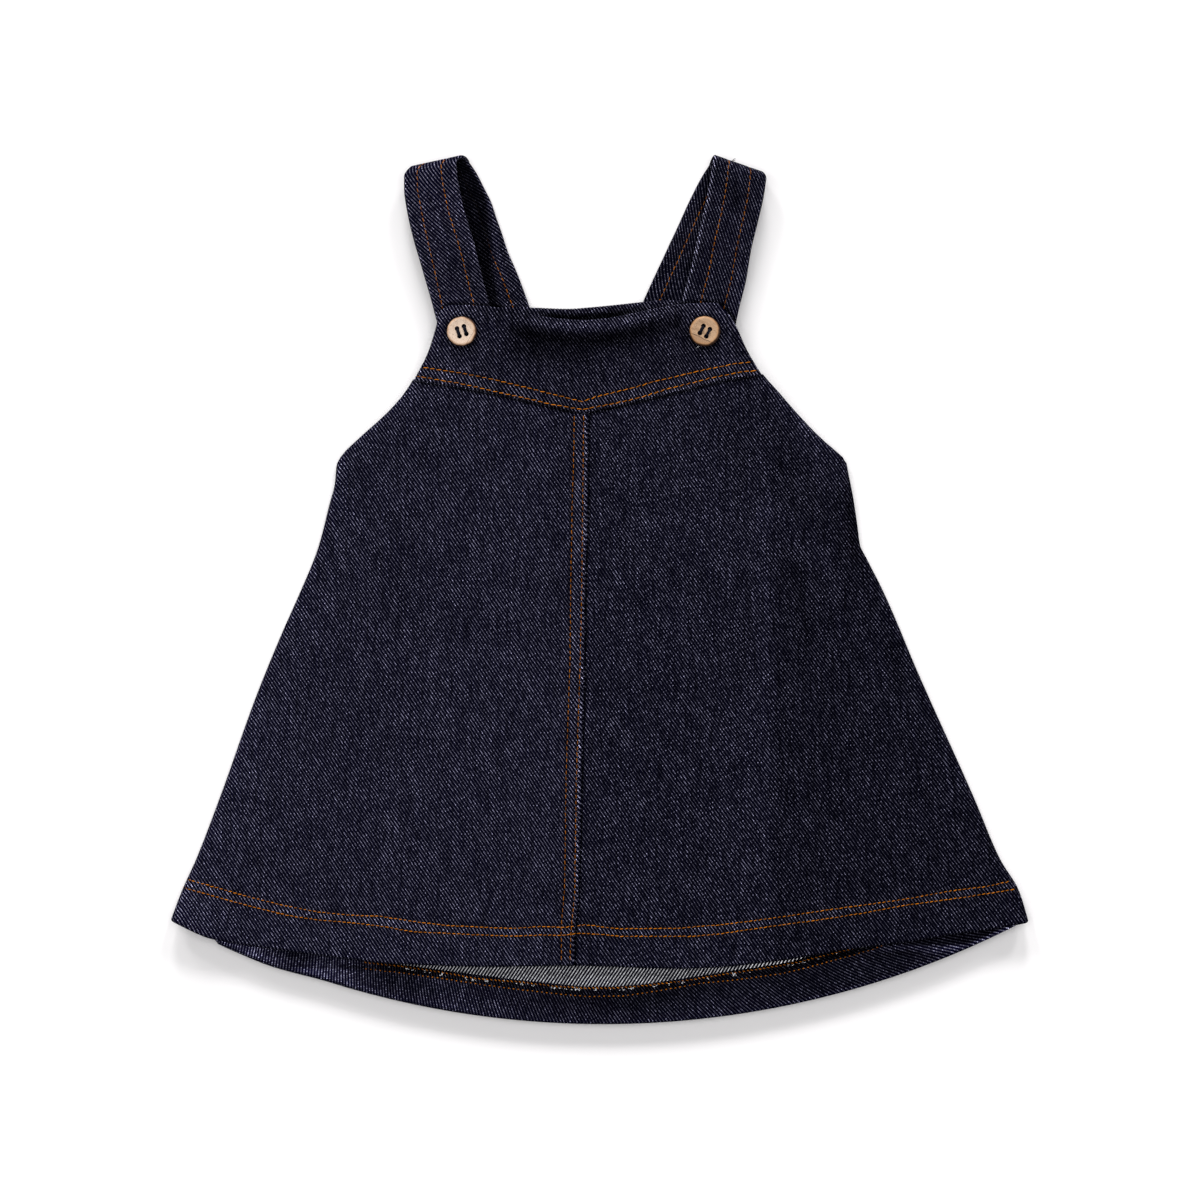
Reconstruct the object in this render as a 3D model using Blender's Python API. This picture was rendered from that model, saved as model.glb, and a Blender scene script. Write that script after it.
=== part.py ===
"""A baby's denim pinafore dress, laid flat on its back on a table.

The bib front is a yoke over two skirt panels, the back is one panel with a neck facing, and two
straps loop over the shoulders and are held to the bib by two wooden buttons.  +X is the viewer's
right, +Y runs from hem to straps, +Z is up from the table, and the origin is under the middle.

Every cloth piece is a mid-surface, worked out from the tables below, given its thickness to both
sides.  Left and right are the viewer's.  Lengths are millimetres; MM takes them to Blender's metres.
"""

import math

import bmesh
import bpy
import numpy as np
from mathutils import Matrix, Vector

MM = 0.001

# Cloth and seams
DENIM = 1.0            # one layer of denim
STRAP_CLOTH = 2.0      # a strap is a tube of denim pressed to two layers
GAP = 0.3              # between neighbouring pieces
SEAM_INSET = 0.65 * GAP  # each side of a seam
HEM_DEPTH = 20.0       # cloth turned up inside each hem
FOLD_RADIUS = (DENIM + GAP) / 2      # mid-surface radius of a hem's folded edge
FOLD_REACH = FOLD_RADIUS + DENIM / 2  # how far a folded edge stands beyond its last row
EDGE_ROLL = 3.2        # width of the strip in which an edge rolls down
SEAM_RIDGE = 0.5       # how far a felled seam's allowance lifts the cloth over it
CENTRE_RIDGE = 6.5     # width of the lifted strip beside the centre seam
YOKE_RIDGE = 7.0       # width of the lifted strip above the yoke seam
DITCH = 0.3            # how far the cloth dips beside a seam

# Levels that the rows of the panels are set out from
UNDERARM_Y = 63.5
SEAM_UNDERARM_Y = 62.0  # where the underarm's row meets the centre seam
SIDE_LEVELS = tuple(range(50, -137, -15))  # side seam rows that the front and the back share
HEM_STEPS = 4

# Outlines, seen from above
LEFT_EDGE = (          # y, x: bib side, armhole, underarm corner, side seam, hem corner
    (141.5, -77.5), (139.8, -79.8), (136.8, -81.0), (127.3, -82.8), (119.8, -85.3), (105.0, -92.8),
    (97.3, -97.8), (89.8, -104.3), (74.8, -120.8), (67.3, -128.8), (63.0, -131.6), (52.3, -132.8),
    (44.8, -134.8), (22.3, -140.3), (-5.3, -151.3), (-52.8, -171.3), (-105.3, -190.3),
    (-135.3, -201.8), (-150.3, -208.8), (-165.5, -214.3),
)
RIGHT_EDGE = (         # y, x: the same places on the other side, with a dent below the underarm
    (143.2, 59.3), (142.3, 61.3), (137.8, 64.3), (132.3, 67.8), (119.8, 73.8), (107.5, 81.3),
    (97.3, 90.3), (89.8, 96.8), (74.8, 111.3), (67.3, 120.3), (64.0, 123.6), (59.8, 124.5),
    (44.8, 126.8), (29.8, 128.8), (22.3, 129.8), (14.8, 133.3), (-0.3, 141.3), (-45.3, 160.3),
    (-105.3, 187.3), (-135.3, 199.8), (-150.3, 209.3), (-166.3, 214.5),
)
CENTRE_SEAM = (        # y, x
    (92.0, -5.0), (84.3, -5.6), (28.3, -7.3), (-34.8, -8.3), (-100.3, -9.3), (-152.8, -10.0),
    (-180.3, -12.3), (-190.0, -12.3),
)
BIB_TOP = (            # x, y
    (-77.5, 141.5), (-69.3, 141.8), (-57.3, 141.3), (-38.8, 138.3), (-19.3, 135.3), (-7.8, 134.6),
    (3.3, 135.5), (18.3, 138.3), (33.8, 141.5), (45.0, 143.0), (59.3, 143.2),
)
V_POINT = (-8.8, 88.0)  # the lowest point of the yoke seam
YOKE_SEAM = (          # x, y
    (-93.2, 105.0), (-76.3, 102.4), (-53.8, 98.3), (-30.8, 93.1), V_POINT,
    (7.3, 91.5), (38.3, 98.8), (64.3, 105.2), (81.5, 107.5),
)
FRONT_HEM = (          # x, y
    (-214.3, -165.5), (-191.8, -174.2), (-158.8, -180.3), (-97.3, -187.3), (-55.0, -188.8),
    (-14.8, -188.3), (40.0, -189.8), (65.0, -188.9), (90.8, -185.8), (121.3, -179.4),
    (152.0, -175.3), (192.8, -170.3), (214.5, -166.3),
)
BACK_TOP = (           # x, y
    (-68.8, 141.3), (-34.8, 141.3), (-15.8, 140.3), (-4.3, 140.8), (3.3, 141.8), (22.3, 144.4),
    (32.8, 145.0), (56.3, 145.0),
)
BACK_TOP_CORNER = {"left": -68.8, "right": 56.3}
BACK_ARMHOLES = {      # y, x
    "left": ((141.3, -68.8), (119.0, -79.5), (102.0, -90.0), (81.0, -109.5), (UNDERARM_Y, -128.0)),
    "right": ((145.0, 56.3), (119.0, 69.0), (102.0, 80.5), (81.0, 101.0), (UNDERARM_Y, 120.5)),
}
BACK_CORNER_Y = {"left": -163.8, "right": -165.6}  # the side's last row, before the hem's fold
BACK_HEM_RADIUS = 456.0
BACK_HEM_LOWEST = (1.8, -217.5)

# Heights of the front's mid-surface, for each level y
FRONT_HEIGHTS = (      # y, edge, shoulder (inside the rolled edge), crown (at the middle)
    (-190.0, 0.3, 5.4, 9.8),
    (-165.0, 0.3, 5.2, 9.4),
    (-130.0, 0.3, 4.6, 8.6),
    (-60.0, 0.3, 3.6, 7.8),
    (20.0, 0.3, 3.4, 7.3),
    (52.0, 0.3, 3.6, 7.2),
    (61.0, 0.3, 3.8, 7.2),
    (66.0, 2.0, 4.2, 7.2),
    (78.0, 3.4, 5.2, 7.4),
    (100.0, 6.0, 7.2, 8.0),
    (113.0, 7.8, 8.3, 8.4),
    (145.0, 8.2, 8.5, 8.4),
)
CROWN_POWER = 3.0      # how flat the front lies before it falls to its sides
FOLDS = (              # from x, y, to x, y, spread across, height (below 0 is a trough)
    (82.0, 96.0, 84.0, -114.0, 6.0, 0.8),
    (97.0, 16.0, 102.0, -38.0, 7.0, -1.6),
    (123.0, 32.0, 125.0, 18.0, 6.0, -1.3),
    (74.0, 88.0, 79.0, 60.0, 5.0, -0.9),
    (91.0, -108.0, 131.0, -120.0, 7.0, -0.9),
    (-130.0, 41.0, -114.0, 25.0, 4.5, 0.8),
    (-101.0, 4.0, -99.0, -14.0, 10.0, -0.8),
)
BIB_TROUGH = {"below": 9.5, "spread": 4.2, "height": -2.2, "from": -45.0, "to": 39.0}
BIB_ROLL = {"below": 3.0, "spread": 2.6, "height": 0.7}

# Straps: each row is a line across the strap, by the plan of its two edges and its height.  A
# strap starts behind the bib, runs up to its fold, turns over in a half circle and comes back down.
STRAP_LOOP_RADIUS = 3.7
STRAP_FRONT = {        # left x, left y, right x, right y, height of the mid-surface
    "strap_left": (
        (-76.4, 114.8, -48.3, 121.6, 6.1), (-82.7, 139.2, -54.9, 144.6, 6.1),
        (-87.3, 156.6, -59.6, 161.4, 7.2), (-94.0, 179.4, -65.2, 181.5, 8.2),
        (-96.3, 205.0, -68.2, 212.0, 8.4),
    ),
    "strap_right": (
        (37.0, 123.0, 64.4, 117.4, 6.1), (41.7, 146.6, 69.3, 141.0, 6.1),
        (47.4, 168.0, 74.4, 162.4, 7.4), (52.1, 189.6, 79.1, 184.0, 8.2),
        (54.6, 211.8, 81.9, 203.8, 8.4),
    ),
}
STRAP_BACK = {
    "strap_left": (
        (-96.3, 205.0, -68.2, 212.0, 1.0), (-83.5, 186.0, -57.6, 199.0, 1.0),
        (-77.0, 170.6, -50.6, 181.0, 1.0), (-68.8, 149.5, -41.9, 158.7, 1.1),
        (-65.7, 141.6, -35.5, 142.0, 2.3), (-62.5, 133.3, -32.2, 133.3, 2.3),
    ),
    "strap_right": (
        (54.6, 211.8, 81.9, 203.8, 1.0), (44.4, 193.7, 70.4, 182.4, 1.0),
        (33.2, 168.2, 59.0, 156.4, 1.1), (22.6, 145.2, 53.3, 144.8, 2.3),
        (18.9, 137.0, 49.6, 137.0, 2.3),
    ),
}

# The facing inside the back's neck edge
FACING_DEPTH = 22.0
FACING_Z = DENIM + GAP + DENIM / 2
FACING_LIFT = STRAP_CLOTH + 1.4 * GAP  # over a strap's sewn end
FACING_RISE = 6.0                # width of the slope up to it

# Buttons
BUTTON_RADIUS = 7.5
BUTTON_HEIGHT = 2.6
BUTTON_ROUNDING = 0.7
BUTTON_HOLE_RADIUS = 0.95
BUTTON_HOLE_SPACING = (3.6, 4.0)  # across the thread bars, along them
BUTTONS = {            # x, y, turn of the holes in degrees
    "button_left": (-68.7, 129.2, 18.0),
    "button_right": (52.6, 129.2, -27.0),
}

MATERIALS = {          # colour, roughness, metallic
    "denim": ((0.016, 0.016, 0.030, 1.0), 0.85, 0.0),
    "wood": ((0.55, 0.40, 0.26, 1.0), 0.55, 0.0),
}


def smooth(table, at):
    """A curve through the table's (place, value) rows that doesn't swing past them, read at `at`."""
    place, value = np.array(sorted(table), float).T
    step = np.diff(place)
    slope = np.diff(value) / step
    tangent = np.concatenate([slope[:1], np.zeros(len(step) - 1), slope[-1:]])
    for i in range(1, len(step)):
        if slope[i - 1] * slope[i] > 0:
            before, after = 2 * step[i] + step[i - 1], step[i] + 2 * step[i - 1]
            tangent[i] = (before + after) / (before / slope[i - 1] + after / slope[i])
    at = np.clip(np.asarray(at, float), place[0], place[-1])
    i = np.clip(np.searchsorted(place, at) - 1, 0, len(step) - 1)
    s = (at - place[i]) / step[i]
    return (
        value[i] * (1 + 2 * s) * (1 - s) ** 2
        + value[i + 1] * s * s * (3 - 2 * s)
        + step[i] * (tangent[i] * s * (1 - s) ** 2 - tangent[i + 1] * s * s * (1 - s))
    )


def fade(value, start, end):
    """0 before start and 1 after end, with a soft step between."""
    s = np.clip((value - start) / (end - start), 0.0, 1.0)
    return s * s * (3 - 2 * s)


def yoke_seam(x):
    """The yoke seam's y: two curves that meet at the V's point."""
    left = [row for row in YOKE_SEAM if row[0] <= V_POINT[0]]
    right = [row for row in YOKE_SEAM if row[0] >= V_POINT[0]]
    return np.where(x < V_POINT[0], smooth(left, x), smooth(right, x))


def back_hem(x):
    """The back's hem is an arc."""
    across = np.asarray(x, float) - BACK_HEM_LOWEST[0]
    rise = BACK_HEM_RADIUS - np.sqrt(BACK_HEM_RADIUS**2 - across**2)
    return BACK_HEM_LOWEST[1] + rise


def fold_height(x, y):
    """What the soft folds add to the front's height: each is a ridge or trough along a line."""
    total = np.zeros(np.shape(x))
    for x0, y0, x1, y1, spread, height in FOLDS:
        dx, dy = x1 - x0, y1 - y0
        length = math.hypot(dx, dy)
        along = ((x - x0) * dx + (y - y0) * dy) / length
        across = ((x - x0) * dy - (y - y0) * dx) / length
        past = np.maximum(np.maximum(-along, along - length), 0.0)
        total = total + height * np.exp(-(across**2 + past**2 / 3) / spread**2)
    return total


def bib_folds(x, y):
    """The bib's rolled neck edge and the trough that lies under it."""
    below = smooth(BIB_TOP, x) - y
    inside = fade(x, BIB_TROUGH["from"], BIB_TROUGH["from"] + 18.0) * fade(
        -x, -BIB_TROUGH["to"], -BIB_TROUGH["to"] + 18.0
    )
    trough = np.exp(-(((below - BIB_TROUGH["below"]) / BIB_TROUGH["spread"]) ** 2))
    roll = np.exp(-(((below - BIB_ROLL["below"]) / BIB_ROLL["spread"]) ** 2))
    return inside * (BIB_TROUGH["height"] * trough + BIB_ROLL["height"] * roll)


def seam_relief(x, y):
    """The lifted strips beside the centre and yoke seams, and the ditch along each seam."""
    from_centre = smooth(CENTRE_SEAM, y) - x
    above_yoke = y - yoke_seam(x)
    on_panels = above_yoke < 0
    strip = (from_centre > 0) * (1 - fade(from_centre, CENTRE_RIDGE, CENTRE_RIDGE + 1.5))
    ditch = np.exp(-((np.maximum(from_centre, -from_centre) / 0.8) ** 2))
    centre = on_panels * (SEAM_RIDGE * strip - DITCH * ditch)
    strip = (above_yoke >= 0) * (1 - fade(above_yoke, YOKE_RIDGE, YOKE_RIDGE + 2.0))
    ditch = np.exp(-((above_yoke / 0.8) ** 2))
    return centre + SEAM_RIDGE * strip - DITCH * ditch


def armhole_share(y):
    """0 down the side seams, where the front rolls to the table, and 1 up the armholes."""
    return fade(y, UNDERARM_Y, UNDERARM_Y + 12.0)


def edge_inset(y):
    """From the front's outline to its mid-surface: half the cloth, where the wall stands upright."""
    return DENIM / 2 * (1 - armhole_share(y))


def front_height(x, y):
    """Height of the front's mid-surface: a low dome that rolls down along its outer edges."""
    left, right = smooth(LEFT_EDGE, y), smooth(RIGHT_EDGE, y)
    edge, shoulder, crown = (
        smooth([(row[0], row[k]) for row in FRONT_HEIGHTS], y) for k in (1, 2, 3)
    )
    share = np.clip((x - left) / (right - left), 0.0, 1.0)
    dome = shoulder + (crown - shoulder) * (1 - np.abs(2 * share - 1) ** CROWN_POWER)
    dome = dome + fold_height(x, y) + bib_folds(x, y) + seam_relief(x, y)
    inward = np.maximum(np.minimum(x - left, right - x) - edge_inset(y), 0.0)
    roll = np.clip(1 - inward / EDGE_ROLL, 0.0, 1.0)
    upright, flat = 1 - np.sqrt(1 - roll**2), roll**2
    return dome - (dome - edge) * (upright + (flat - upright) * armhole_share(y))


def patch(start, end, top, bottom, columns):
    """A grid between four edges: points down its left and right edges, and top and bottom as y of x.

    `columns` holds, for each row, each column's distance from the left edge."""
    share = columns / (end[:, 0] - start[:, 0])[:, None]
    down = ((start[0, 1] - start[:, 1]) / (start[0, 1] - start[-1, 1]))[:, None]
    ruled = start[:, None] * (1 - share[..., None]) + end[:, None] * share[..., None]
    first_x = start[0, 0] + (end[0, 0] - start[0, 0]) * share
    last_x = start[-1, 0] + (end[-1, 0] - start[-1, 0]) * share
    first_line = start[0, 1] * (1 - share) + end[0, 1] * share
    last_line = start[-1, 1] * (1 - share) + end[-1, 1] * share
    lift = (1 - down) * (top(first_x) - first_line) + down * (bottom(last_x) - last_line)
    return ruled[..., 0], ruled[..., 1] + lift


def spaced_columns(widths, near_left, near_right, count):
    """Column distances for rows of these widths: given ones at each side, even ones between.

    near_left holds distances from the left edge and near_right from the right, a row for each."""
    rows = []
    for width, left, right in zip(widths, near_left, near_right):
        middle = np.linspace(left[-1], width - right[0], count + 2)[1:-1]
        rows.append(np.concatenate([left, middle, width - right]))
    return np.array(rows)


def grid_tangents(points, axis):
    """Unit tangents of a grid of points along one axis: where two spans meet, midway between them."""
    span = np.diff(points, axis=axis)
    span = span / np.linalg.norm(span, axis=-1, keepdims=True)
    first, last = np.take(span, [0], axis), np.take(span, [-1], axis)
    both = np.concatenate([first, span], axis) + np.concatenate([span, last], axis)
    return both / np.linalg.norm(both, axis=-1, keepdims=True)


def grid_normals(points):
    """Unit normals of a grid of points, facing up where the grid lies flat."""
    normal = np.cross(grid_tangents(points, 0), grid_tangents(points, 1))
    return normal / np.linalg.norm(normal, axis=-1, keepdims=True)


def turned_edge(points, side, depth_rows):
    """The grid with its last row folded over: an arc, then rows that return beside the cloth.

    side is -1 to fold under the sheet and 1 to fold over it."""
    normals = grid_normals(points)
    out = points[-1] - points[-2]
    out = out / np.linalg.norm(out, axis=-1, keepdims=True)
    toward = side * normals[-1]
    centre = points[-1] + toward * FOLD_RADIUS
    arc = [
        centre - toward * FOLD_RADIUS * math.cos(turn) + out * FOLD_RADIUS * math.sin(turn)
        for turn in np.linspace(0, math.pi, 7)[1:]
    ]
    back = [points[-k] + side * 2 * FOLD_RADIUS * normals[-k] for k in range(2, depth_rows + 2)]
    return np.concatenate([points, np.array(arc), np.array(back)])


def material(name):
    made = bpy.data.materials.get(name)
    if made is None:
        colour, roughness, metallic = MATERIALS[name]
        made = bpy.data.materials.new(name)
        made.use_nodes = True
        shader = made.node_tree.nodes["Principled BSDF"]
        shader.inputs["Base Color"].default_value = colour
        shader.inputs["Roughness"].default_value = roughness
        shader.inputs["Metallic"].default_value = metallic
    return made


def add_object(name, mesh, material_name):
    obj = bpy.data.objects.new(name, mesh)
    mesh.materials.append(material(material_name))
    bpy.context.scene.collection.objects.link(obj)
    return obj


def wall(name, points, thickness=DENIM):
    """A cloth wall: half its thickness to each side of a grid of mid-surface points, closed."""
    points = np.asarray(points, float)
    offset = grid_normals(points) * thickness / 2
    bm = bmesh.new()
    upper, lower = (
        [[bm.verts.new(Vector(p) * MM) for p in row] for row in layer.tolist()]
        for layer in (points + offset, points - offset)
    )
    row_count, column_count = points.shape[:2]
    for i in range(row_count - 1):
        for j in range(column_count - 1):
            corners = ((i, j), (i + 1, j), (i + 1, j + 1), (i, j + 1))
            bm.faces.new([upper[r][c] for r, c in corners])
            bm.faces.new([lower[r][c] for r, c in reversed(corners)])
    border = [(i, 0) for i in range(row_count)]
    border += [(row_count - 1, j) for j in range(1, column_count)]
    border += [(i, column_count - 1) for i in range(row_count - 2, -1, -1)]
    border += [(0, j) for j in range(column_count - 2, 0, -1)]
    for (r0, c0), (r1, c1) in zip(border, border[1:] + border[:1]):
        bm.faces.new((upper[r1][c1], upper[r0][c0], lower[r0][c0], lower[r1][c1]))
    mesh = bpy.data.meshes.new(name)
    bm.to_mesh(mesh)
    bm.free()
    mesh.shade_smooth()
    return add_object(name, mesh, "denim")


def side_levels(top, bottom, above):
    """The y of a panel's rows at its side: above the underarm, down the side seam, up the hem."""
    upper = np.linspace(top, UNDERARM_Y, above)
    hem = bottom + np.linspace(HEM_DEPTH, 0, HEM_STEPS + 1)
    return np.concatenate([upper, SIDE_LEVELS, hem])


def front_panel(side):
    """One half of the skirt's front, from the yoke seam to its turned-under hem."""
    left_half = side == "left"
    edge_table = LEFT_EDGE if left_half else RIGHT_EDGE
    outer_sign = -1 if left_half else 1
    yoke_end, hem_end = (105.0, -165.5) if left_half else (107.5, -166.3)
    edge_y = side_levels(yoke_end - 0.6, hem_end + FOLD_REACH, 6)
    seam_y = np.interp(
        edge_y,
        (edge_y[-1], UNDERARM_Y, edge_y[0]),
        (-188.4 + FOLD_REACH, SEAM_UNDERARM_Y, V_POINT[1]),
    )
    outer = np.stack([smooth(edge_table, edge_y) - outer_sign * edge_inset(edge_y), edge_y], axis=1)
    seam = np.stack([smooth(CENTRE_SEAM, seam_y) + outer_sign * SEAM_INSET, seam_y], axis=1)
    upright, flat = np.array([(0.0, 0.25, 0.9, 2.0, EDGE_ROLL), (0.0, 0.9, 1.7, 2.5, EDGE_ROLL)])
    near_edge = upright + (flat - upright) * armhole_share(edge_y)[:, None]
    near_seam = (8.0, CENTRE_RIDGE, 3.4, 0.9, 0.0) if left_half else (0.0, 1.6, 4.0, 8.0)
    near_seam = np.tile(near_seam, (len(edge_y), 1))
    if left_half:
        ends, near = (outer, seam), (near_edge, near_seam)
    else:
        ends, near = (seam, outer), (near_seam, near_edge[:, ::-1])
    x, y = patch(
        *ends,
        lambda x: yoke_seam(x) - SEAM_INSET,
        lambda x: smooth(FRONT_HEM, x) + FOLD_REACH,
        spaced_columns(ends[1][:, 0] - ends[0][:, 0], *near, 7),
    )
    points = np.stack([x, y, front_height(x, y)], axis=-1)
    return wall(f"front_{side}_panel", turned_edge(points, -1, HEM_STEPS))


def front_yoke():
    """The bib: one piece from the neck edge down to the V-shaped yoke seam."""
    down = np.concatenate([np.linspace(0, 0.78, 9), [0.88, 0.97, 1.0]])
    left_y = 139.8 + (105.4 - 139.8) * down
    right_y = 141.4 + (107.9 - 141.4) * down
    left = np.stack([smooth(LEFT_EDGE, left_y), left_y], axis=1)
    right = np.stack([smooth(RIGHT_EDGE, right_y), right_y], axis=1)
    widths = right[:, 0] - left[:, 0]
    point_share = (V_POINT[0] - left[-1, 0]) / widths[-1]
    edge_roll = np.array([0.0, 0.8, 1.9, EDGE_ROLL])
    columns = [
        np.concatenate([
            edge_roll,
            np.linspace(EDGE_ROLL, width * point_share, 10)[1:],
            np.linspace(width * point_share, width - EDGE_ROLL, 10)[1:],
            width - edge_roll[-2::-1],
        ])
        for width in widths
    ]
    x, y = patch(
        left, right,
        lambda x: smooth(BIB_TOP, x),
        lambda x: yoke_seam(x) + SEAM_INSET,
        np.array(columns),
    )
    return wall("front_yoke", np.stack([x, y, front_height(x, y)], axis=-1))


def back_inset(y):
    """How far the back's edge lies inside the front's: more at the hem, where the front is double."""
    return 1.5 + 2.6 * fade(-y, 125.0, 145.0)


def back_side(table, armhole, corner_y, sign):
    """Points down one side of the back: an armhole, then the side seam just inside the front's."""
    y = side_levels(armhole[0][0], corner_y, 8)
    below = smooth(table, y) - sign * back_inset(y)
    return np.stack([np.where(y >= UNDERARM_Y, smooth(armhole, y), below), y], axis=1)


def back_panel():
    """The back: one flat panel on the table, with its hem turned up inside."""
    left = back_side(LEFT_EDGE, BACK_ARMHOLES["left"], BACK_CORNER_Y["left"], -1)
    right = back_side(RIGHT_EDGE, BACK_ARMHOLES["right"], BACK_CORNER_Y["right"], 1)
    widths = right[:, 0] - left[:, 0]
    columns = np.array([np.linspace(0, width, 22) for width in widths])
    x, y = patch(
        left, right,
        lambda x: smooth(BACK_TOP, x),
        lambda x: back_hem(x) + FOLD_REACH,
        columns,
    )
    points = np.stack([x, y, np.full(x.shape, DENIM / 2)], axis=-1)
    return wall("back_panel", turned_edge(points, 1, HEM_STEPS))


def strap_stations(rows, spacing):
    """Rows of a strap table, filled in along its centre line about every `spacing`."""
    rows = np.array(rows)
    centre = (rows[:, :2] + rows[:, 2:4]) / 2
    distance = np.concatenate([[0.0], np.cumsum(np.linalg.norm(np.diff(centre, axis=0), axis=1))])
    at = np.linspace(0, distance[-1], round(distance[-1] / spacing) + 1)
    return np.stack([smooth(list(zip(distance, column)), at) for column in rows.T], axis=1)


def strap_loop(start, steps):
    """The half circle in which a strap turns over, from the last row of its front to its back."""
    across = start[2:4] - start[:2]
    out = np.array([-across[1], across[0]]) / np.linalg.norm(across)
    rows = []
    for angle in np.linspace(0, math.pi, steps + 1)[1:-1]:
        reach = out * STRAP_LOOP_RADIUS * math.sin(angle)
        drop = STRAP_LOOP_RADIUS * (1 - math.cos(angle))
        rows.append([*(start[:2] + reach), *(start[2:4] + reach), start[4] - drop])
    return np.array(rows)


def strap(name):
    """A strap: from behind the bib, over its loop, and down to the back's neck edge."""
    front = strap_stations(STRAP_FRONT[name], 7.0)
    back = strap_stations(STRAP_BACK[name], 7.0)
    rows = np.concatenate([front, strap_loop(front[-1], 12), back])
    share = np.linspace(0, 1, 5)[None, :, None]
    left = np.stack([rows[:, 0], rows[:, 1], rows[:, 4]], axis=1)[:, None]
    right = np.stack([rows[:, 2], rows[:, 3], rows[:, 4]], axis=1)[:, None]
    points = left * (1 - share) + right * share
    return wall(name, points[:, ::-1], STRAP_CLOTH)


def on_strap(name, x, y):
    """1 where a strap's sewn end lies under this point of the back, 0 away from it, soft between."""
    edge, end = STRAP_BACK[name][-2:]
    level = [(end[1], end[0], end[2]), (edge[1], edge[0], edge[2])]
    left = np.interp(y, [row[0] for row in level], [row[1] for row in level])
    right = np.interp(y, [row[0] for row in level], [row[2] for row in level])
    outside = np.maximum(np.maximum(left - x, x - right), end[1] - y)
    return 1 - fade(outside, 1.0, 1.0 + FACING_RISE)


def facing_height(x, y):
    """The neck facing lies on the back, and rises over the sewn ends of the straps."""
    lift = np.maximum(on_strap("strap_left", x, y), on_strap("strap_right", x, y))
    return FACING_Z + FACING_LIFT * lift


def back_facing():
    """The band of denim that faces the inside of the back's neck edge."""
    inset = 0.6
    columns = np.linspace(
        BACK_TOP_CORNER["left"] + inset, BACK_TOP_CORNER["right"] - inset, 42
    )
    depth = np.array([0.0, 4.0, 7.5, 9.5, 11.0, 12.5, 14.0, 16.0, FACING_DEPTH])
    x, below = np.meshgrid(columns, depth)
    spread = below / FACING_DEPTH * 7.0
    middle = (columns[0] + columns[-1]) / 2
    y = smooth(BACK_TOP, x) - inset * 0.5 - below
    x = x + (x - middle) / (columns[-1] - middle) * spread
    return wall("back_facing", np.stack([x, y, facing_height(x, y)], axis=-1))


def button(name):
    """A turned wooden button with four holes, lying on the bib."""
    x, y, turn = BUTTONS[name]
    step = 3.0
    here = float(front_height(np.array(x), np.array(y)))
    slope_x = float(front_height(np.array(x + step), np.array(y))
                    - front_height(np.array(x - step), np.array(y))) / (2 * step)
    slope_y = float(front_height(np.array(x), np.array(y + step))
                    - front_height(np.array(x), np.array(y - step))) / (2 * step)
    normal = Vector((-slope_x, -slope_y, 1.0)).normalized()
    r, h, b = BUTTON_RADIUS * MM, BUTTON_HEIGHT * MM, BUTTON_ROUNDING * MM
    profile = [(0, h * 0.86), (r * 0.62, h * 0.86), (r * 0.78, h), (r - b, h)]
    profile += [
        (r - b + b * math.sin(turn_by), h - b + b * math.cos(turn_by))
        for turn_by in (math.pi / 4, math.pi / 2)
    ]
    profile += [(r, b), (r - b, 0), (0, 0)]
    bm = bmesh.new()
    verts = [bm.verts.new((px, 0, pz)) for px, pz in profile]
    edges = [bm.edges.new(pair) for pair in zip(verts, verts[1:])]
    bmesh.ops.spin(bm, geom=verts + edges, cent=(0, 0, 0), axis=(0, 0, 1),
                   angle=2 * math.pi, steps=32, use_merge=True)
    bmesh.ops.remove_doubles(bm, verts=bm.verts, dist=1e-6)
    bmesh.ops.recalc_face_normals(bm, faces=bm.faces)
    mesh = bpy.data.meshes.new(name)
    bm.to_mesh(mesh)
    bm.free()
    mesh.shade_smooth()
    obj = add_object(name, mesh, "wood")
    holes = bmesh.new()
    for sx in (-1, 1):
        for sy in (-1, 1):
            place = Matrix.Translation((sx * BUTTON_HOLE_SPACING[0] / 2 * MM,
                                        sy * BUTTON_HOLE_SPACING[1] / 2 * MM, h / 2))
            bmesh.ops.create_cone(
                holes, cap_ends=True, segments=10, radius1=BUTTON_HOLE_RADIUS * MM,
                radius2=BUTTON_HOLE_RADIUS * MM, depth=3 * h, matrix=place,
            )
    cutter_mesh = bpy.data.meshes.new(f"{name}_holes")
    holes.to_mesh(cutter_mesh)
    holes.free()
    cutter = bpy.data.objects.new(f"{name}_holes", cutter_mesh)
    bpy.context.scene.collection.objects.link(cutter)
    cutter.hide_render = True
    cutter.display_type = "WIRE"
    lift = (DENIM / 2 + GAP + 0.1) * MM
    place = Matrix.Translation(Vector((x, y, here)) * MM + normal * lift)
    place = place @ normal.to_track_quat("Z", "Y").to_matrix().to_4x4()
    place = place @ Matrix.Rotation(math.radians(turn), 4, "Z")
    obj.matrix_world = place
    cutter.matrix_world = place
    cut = obj.modifiers.new("holes", "BOOLEAN")
    cut.operation = "DIFFERENCE"
    cut.object = cutter
    return obj


def main():
    for obj in list(bpy.data.objects):
        bpy.data.objects.remove(obj)
    front_panel("left")
    front_panel("right")
    front_yoke()
    back_panel()
    back_facing()
    for name in STRAP_FRONT:
        strap(name)
    for name in BUTTONS:
        button(name)


main()
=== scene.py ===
"""A baby's denim pinafore dress laid flat, seen from straight above under soft studio light.

Each cloth piece follows the mid-surface of its CAD solid, worked out again here on a fine grid with
its creases, seam ridges and hems, and carries flat cloth coordinates that the twill is woven from.
Left and right are the viewer's.  Lengths are millimetres; MM takes them to Blender's metres.
"""

import math
from functools import partialmethod

import bpy
import numpy as np
from mathutils import Matrix, Vector


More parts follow.
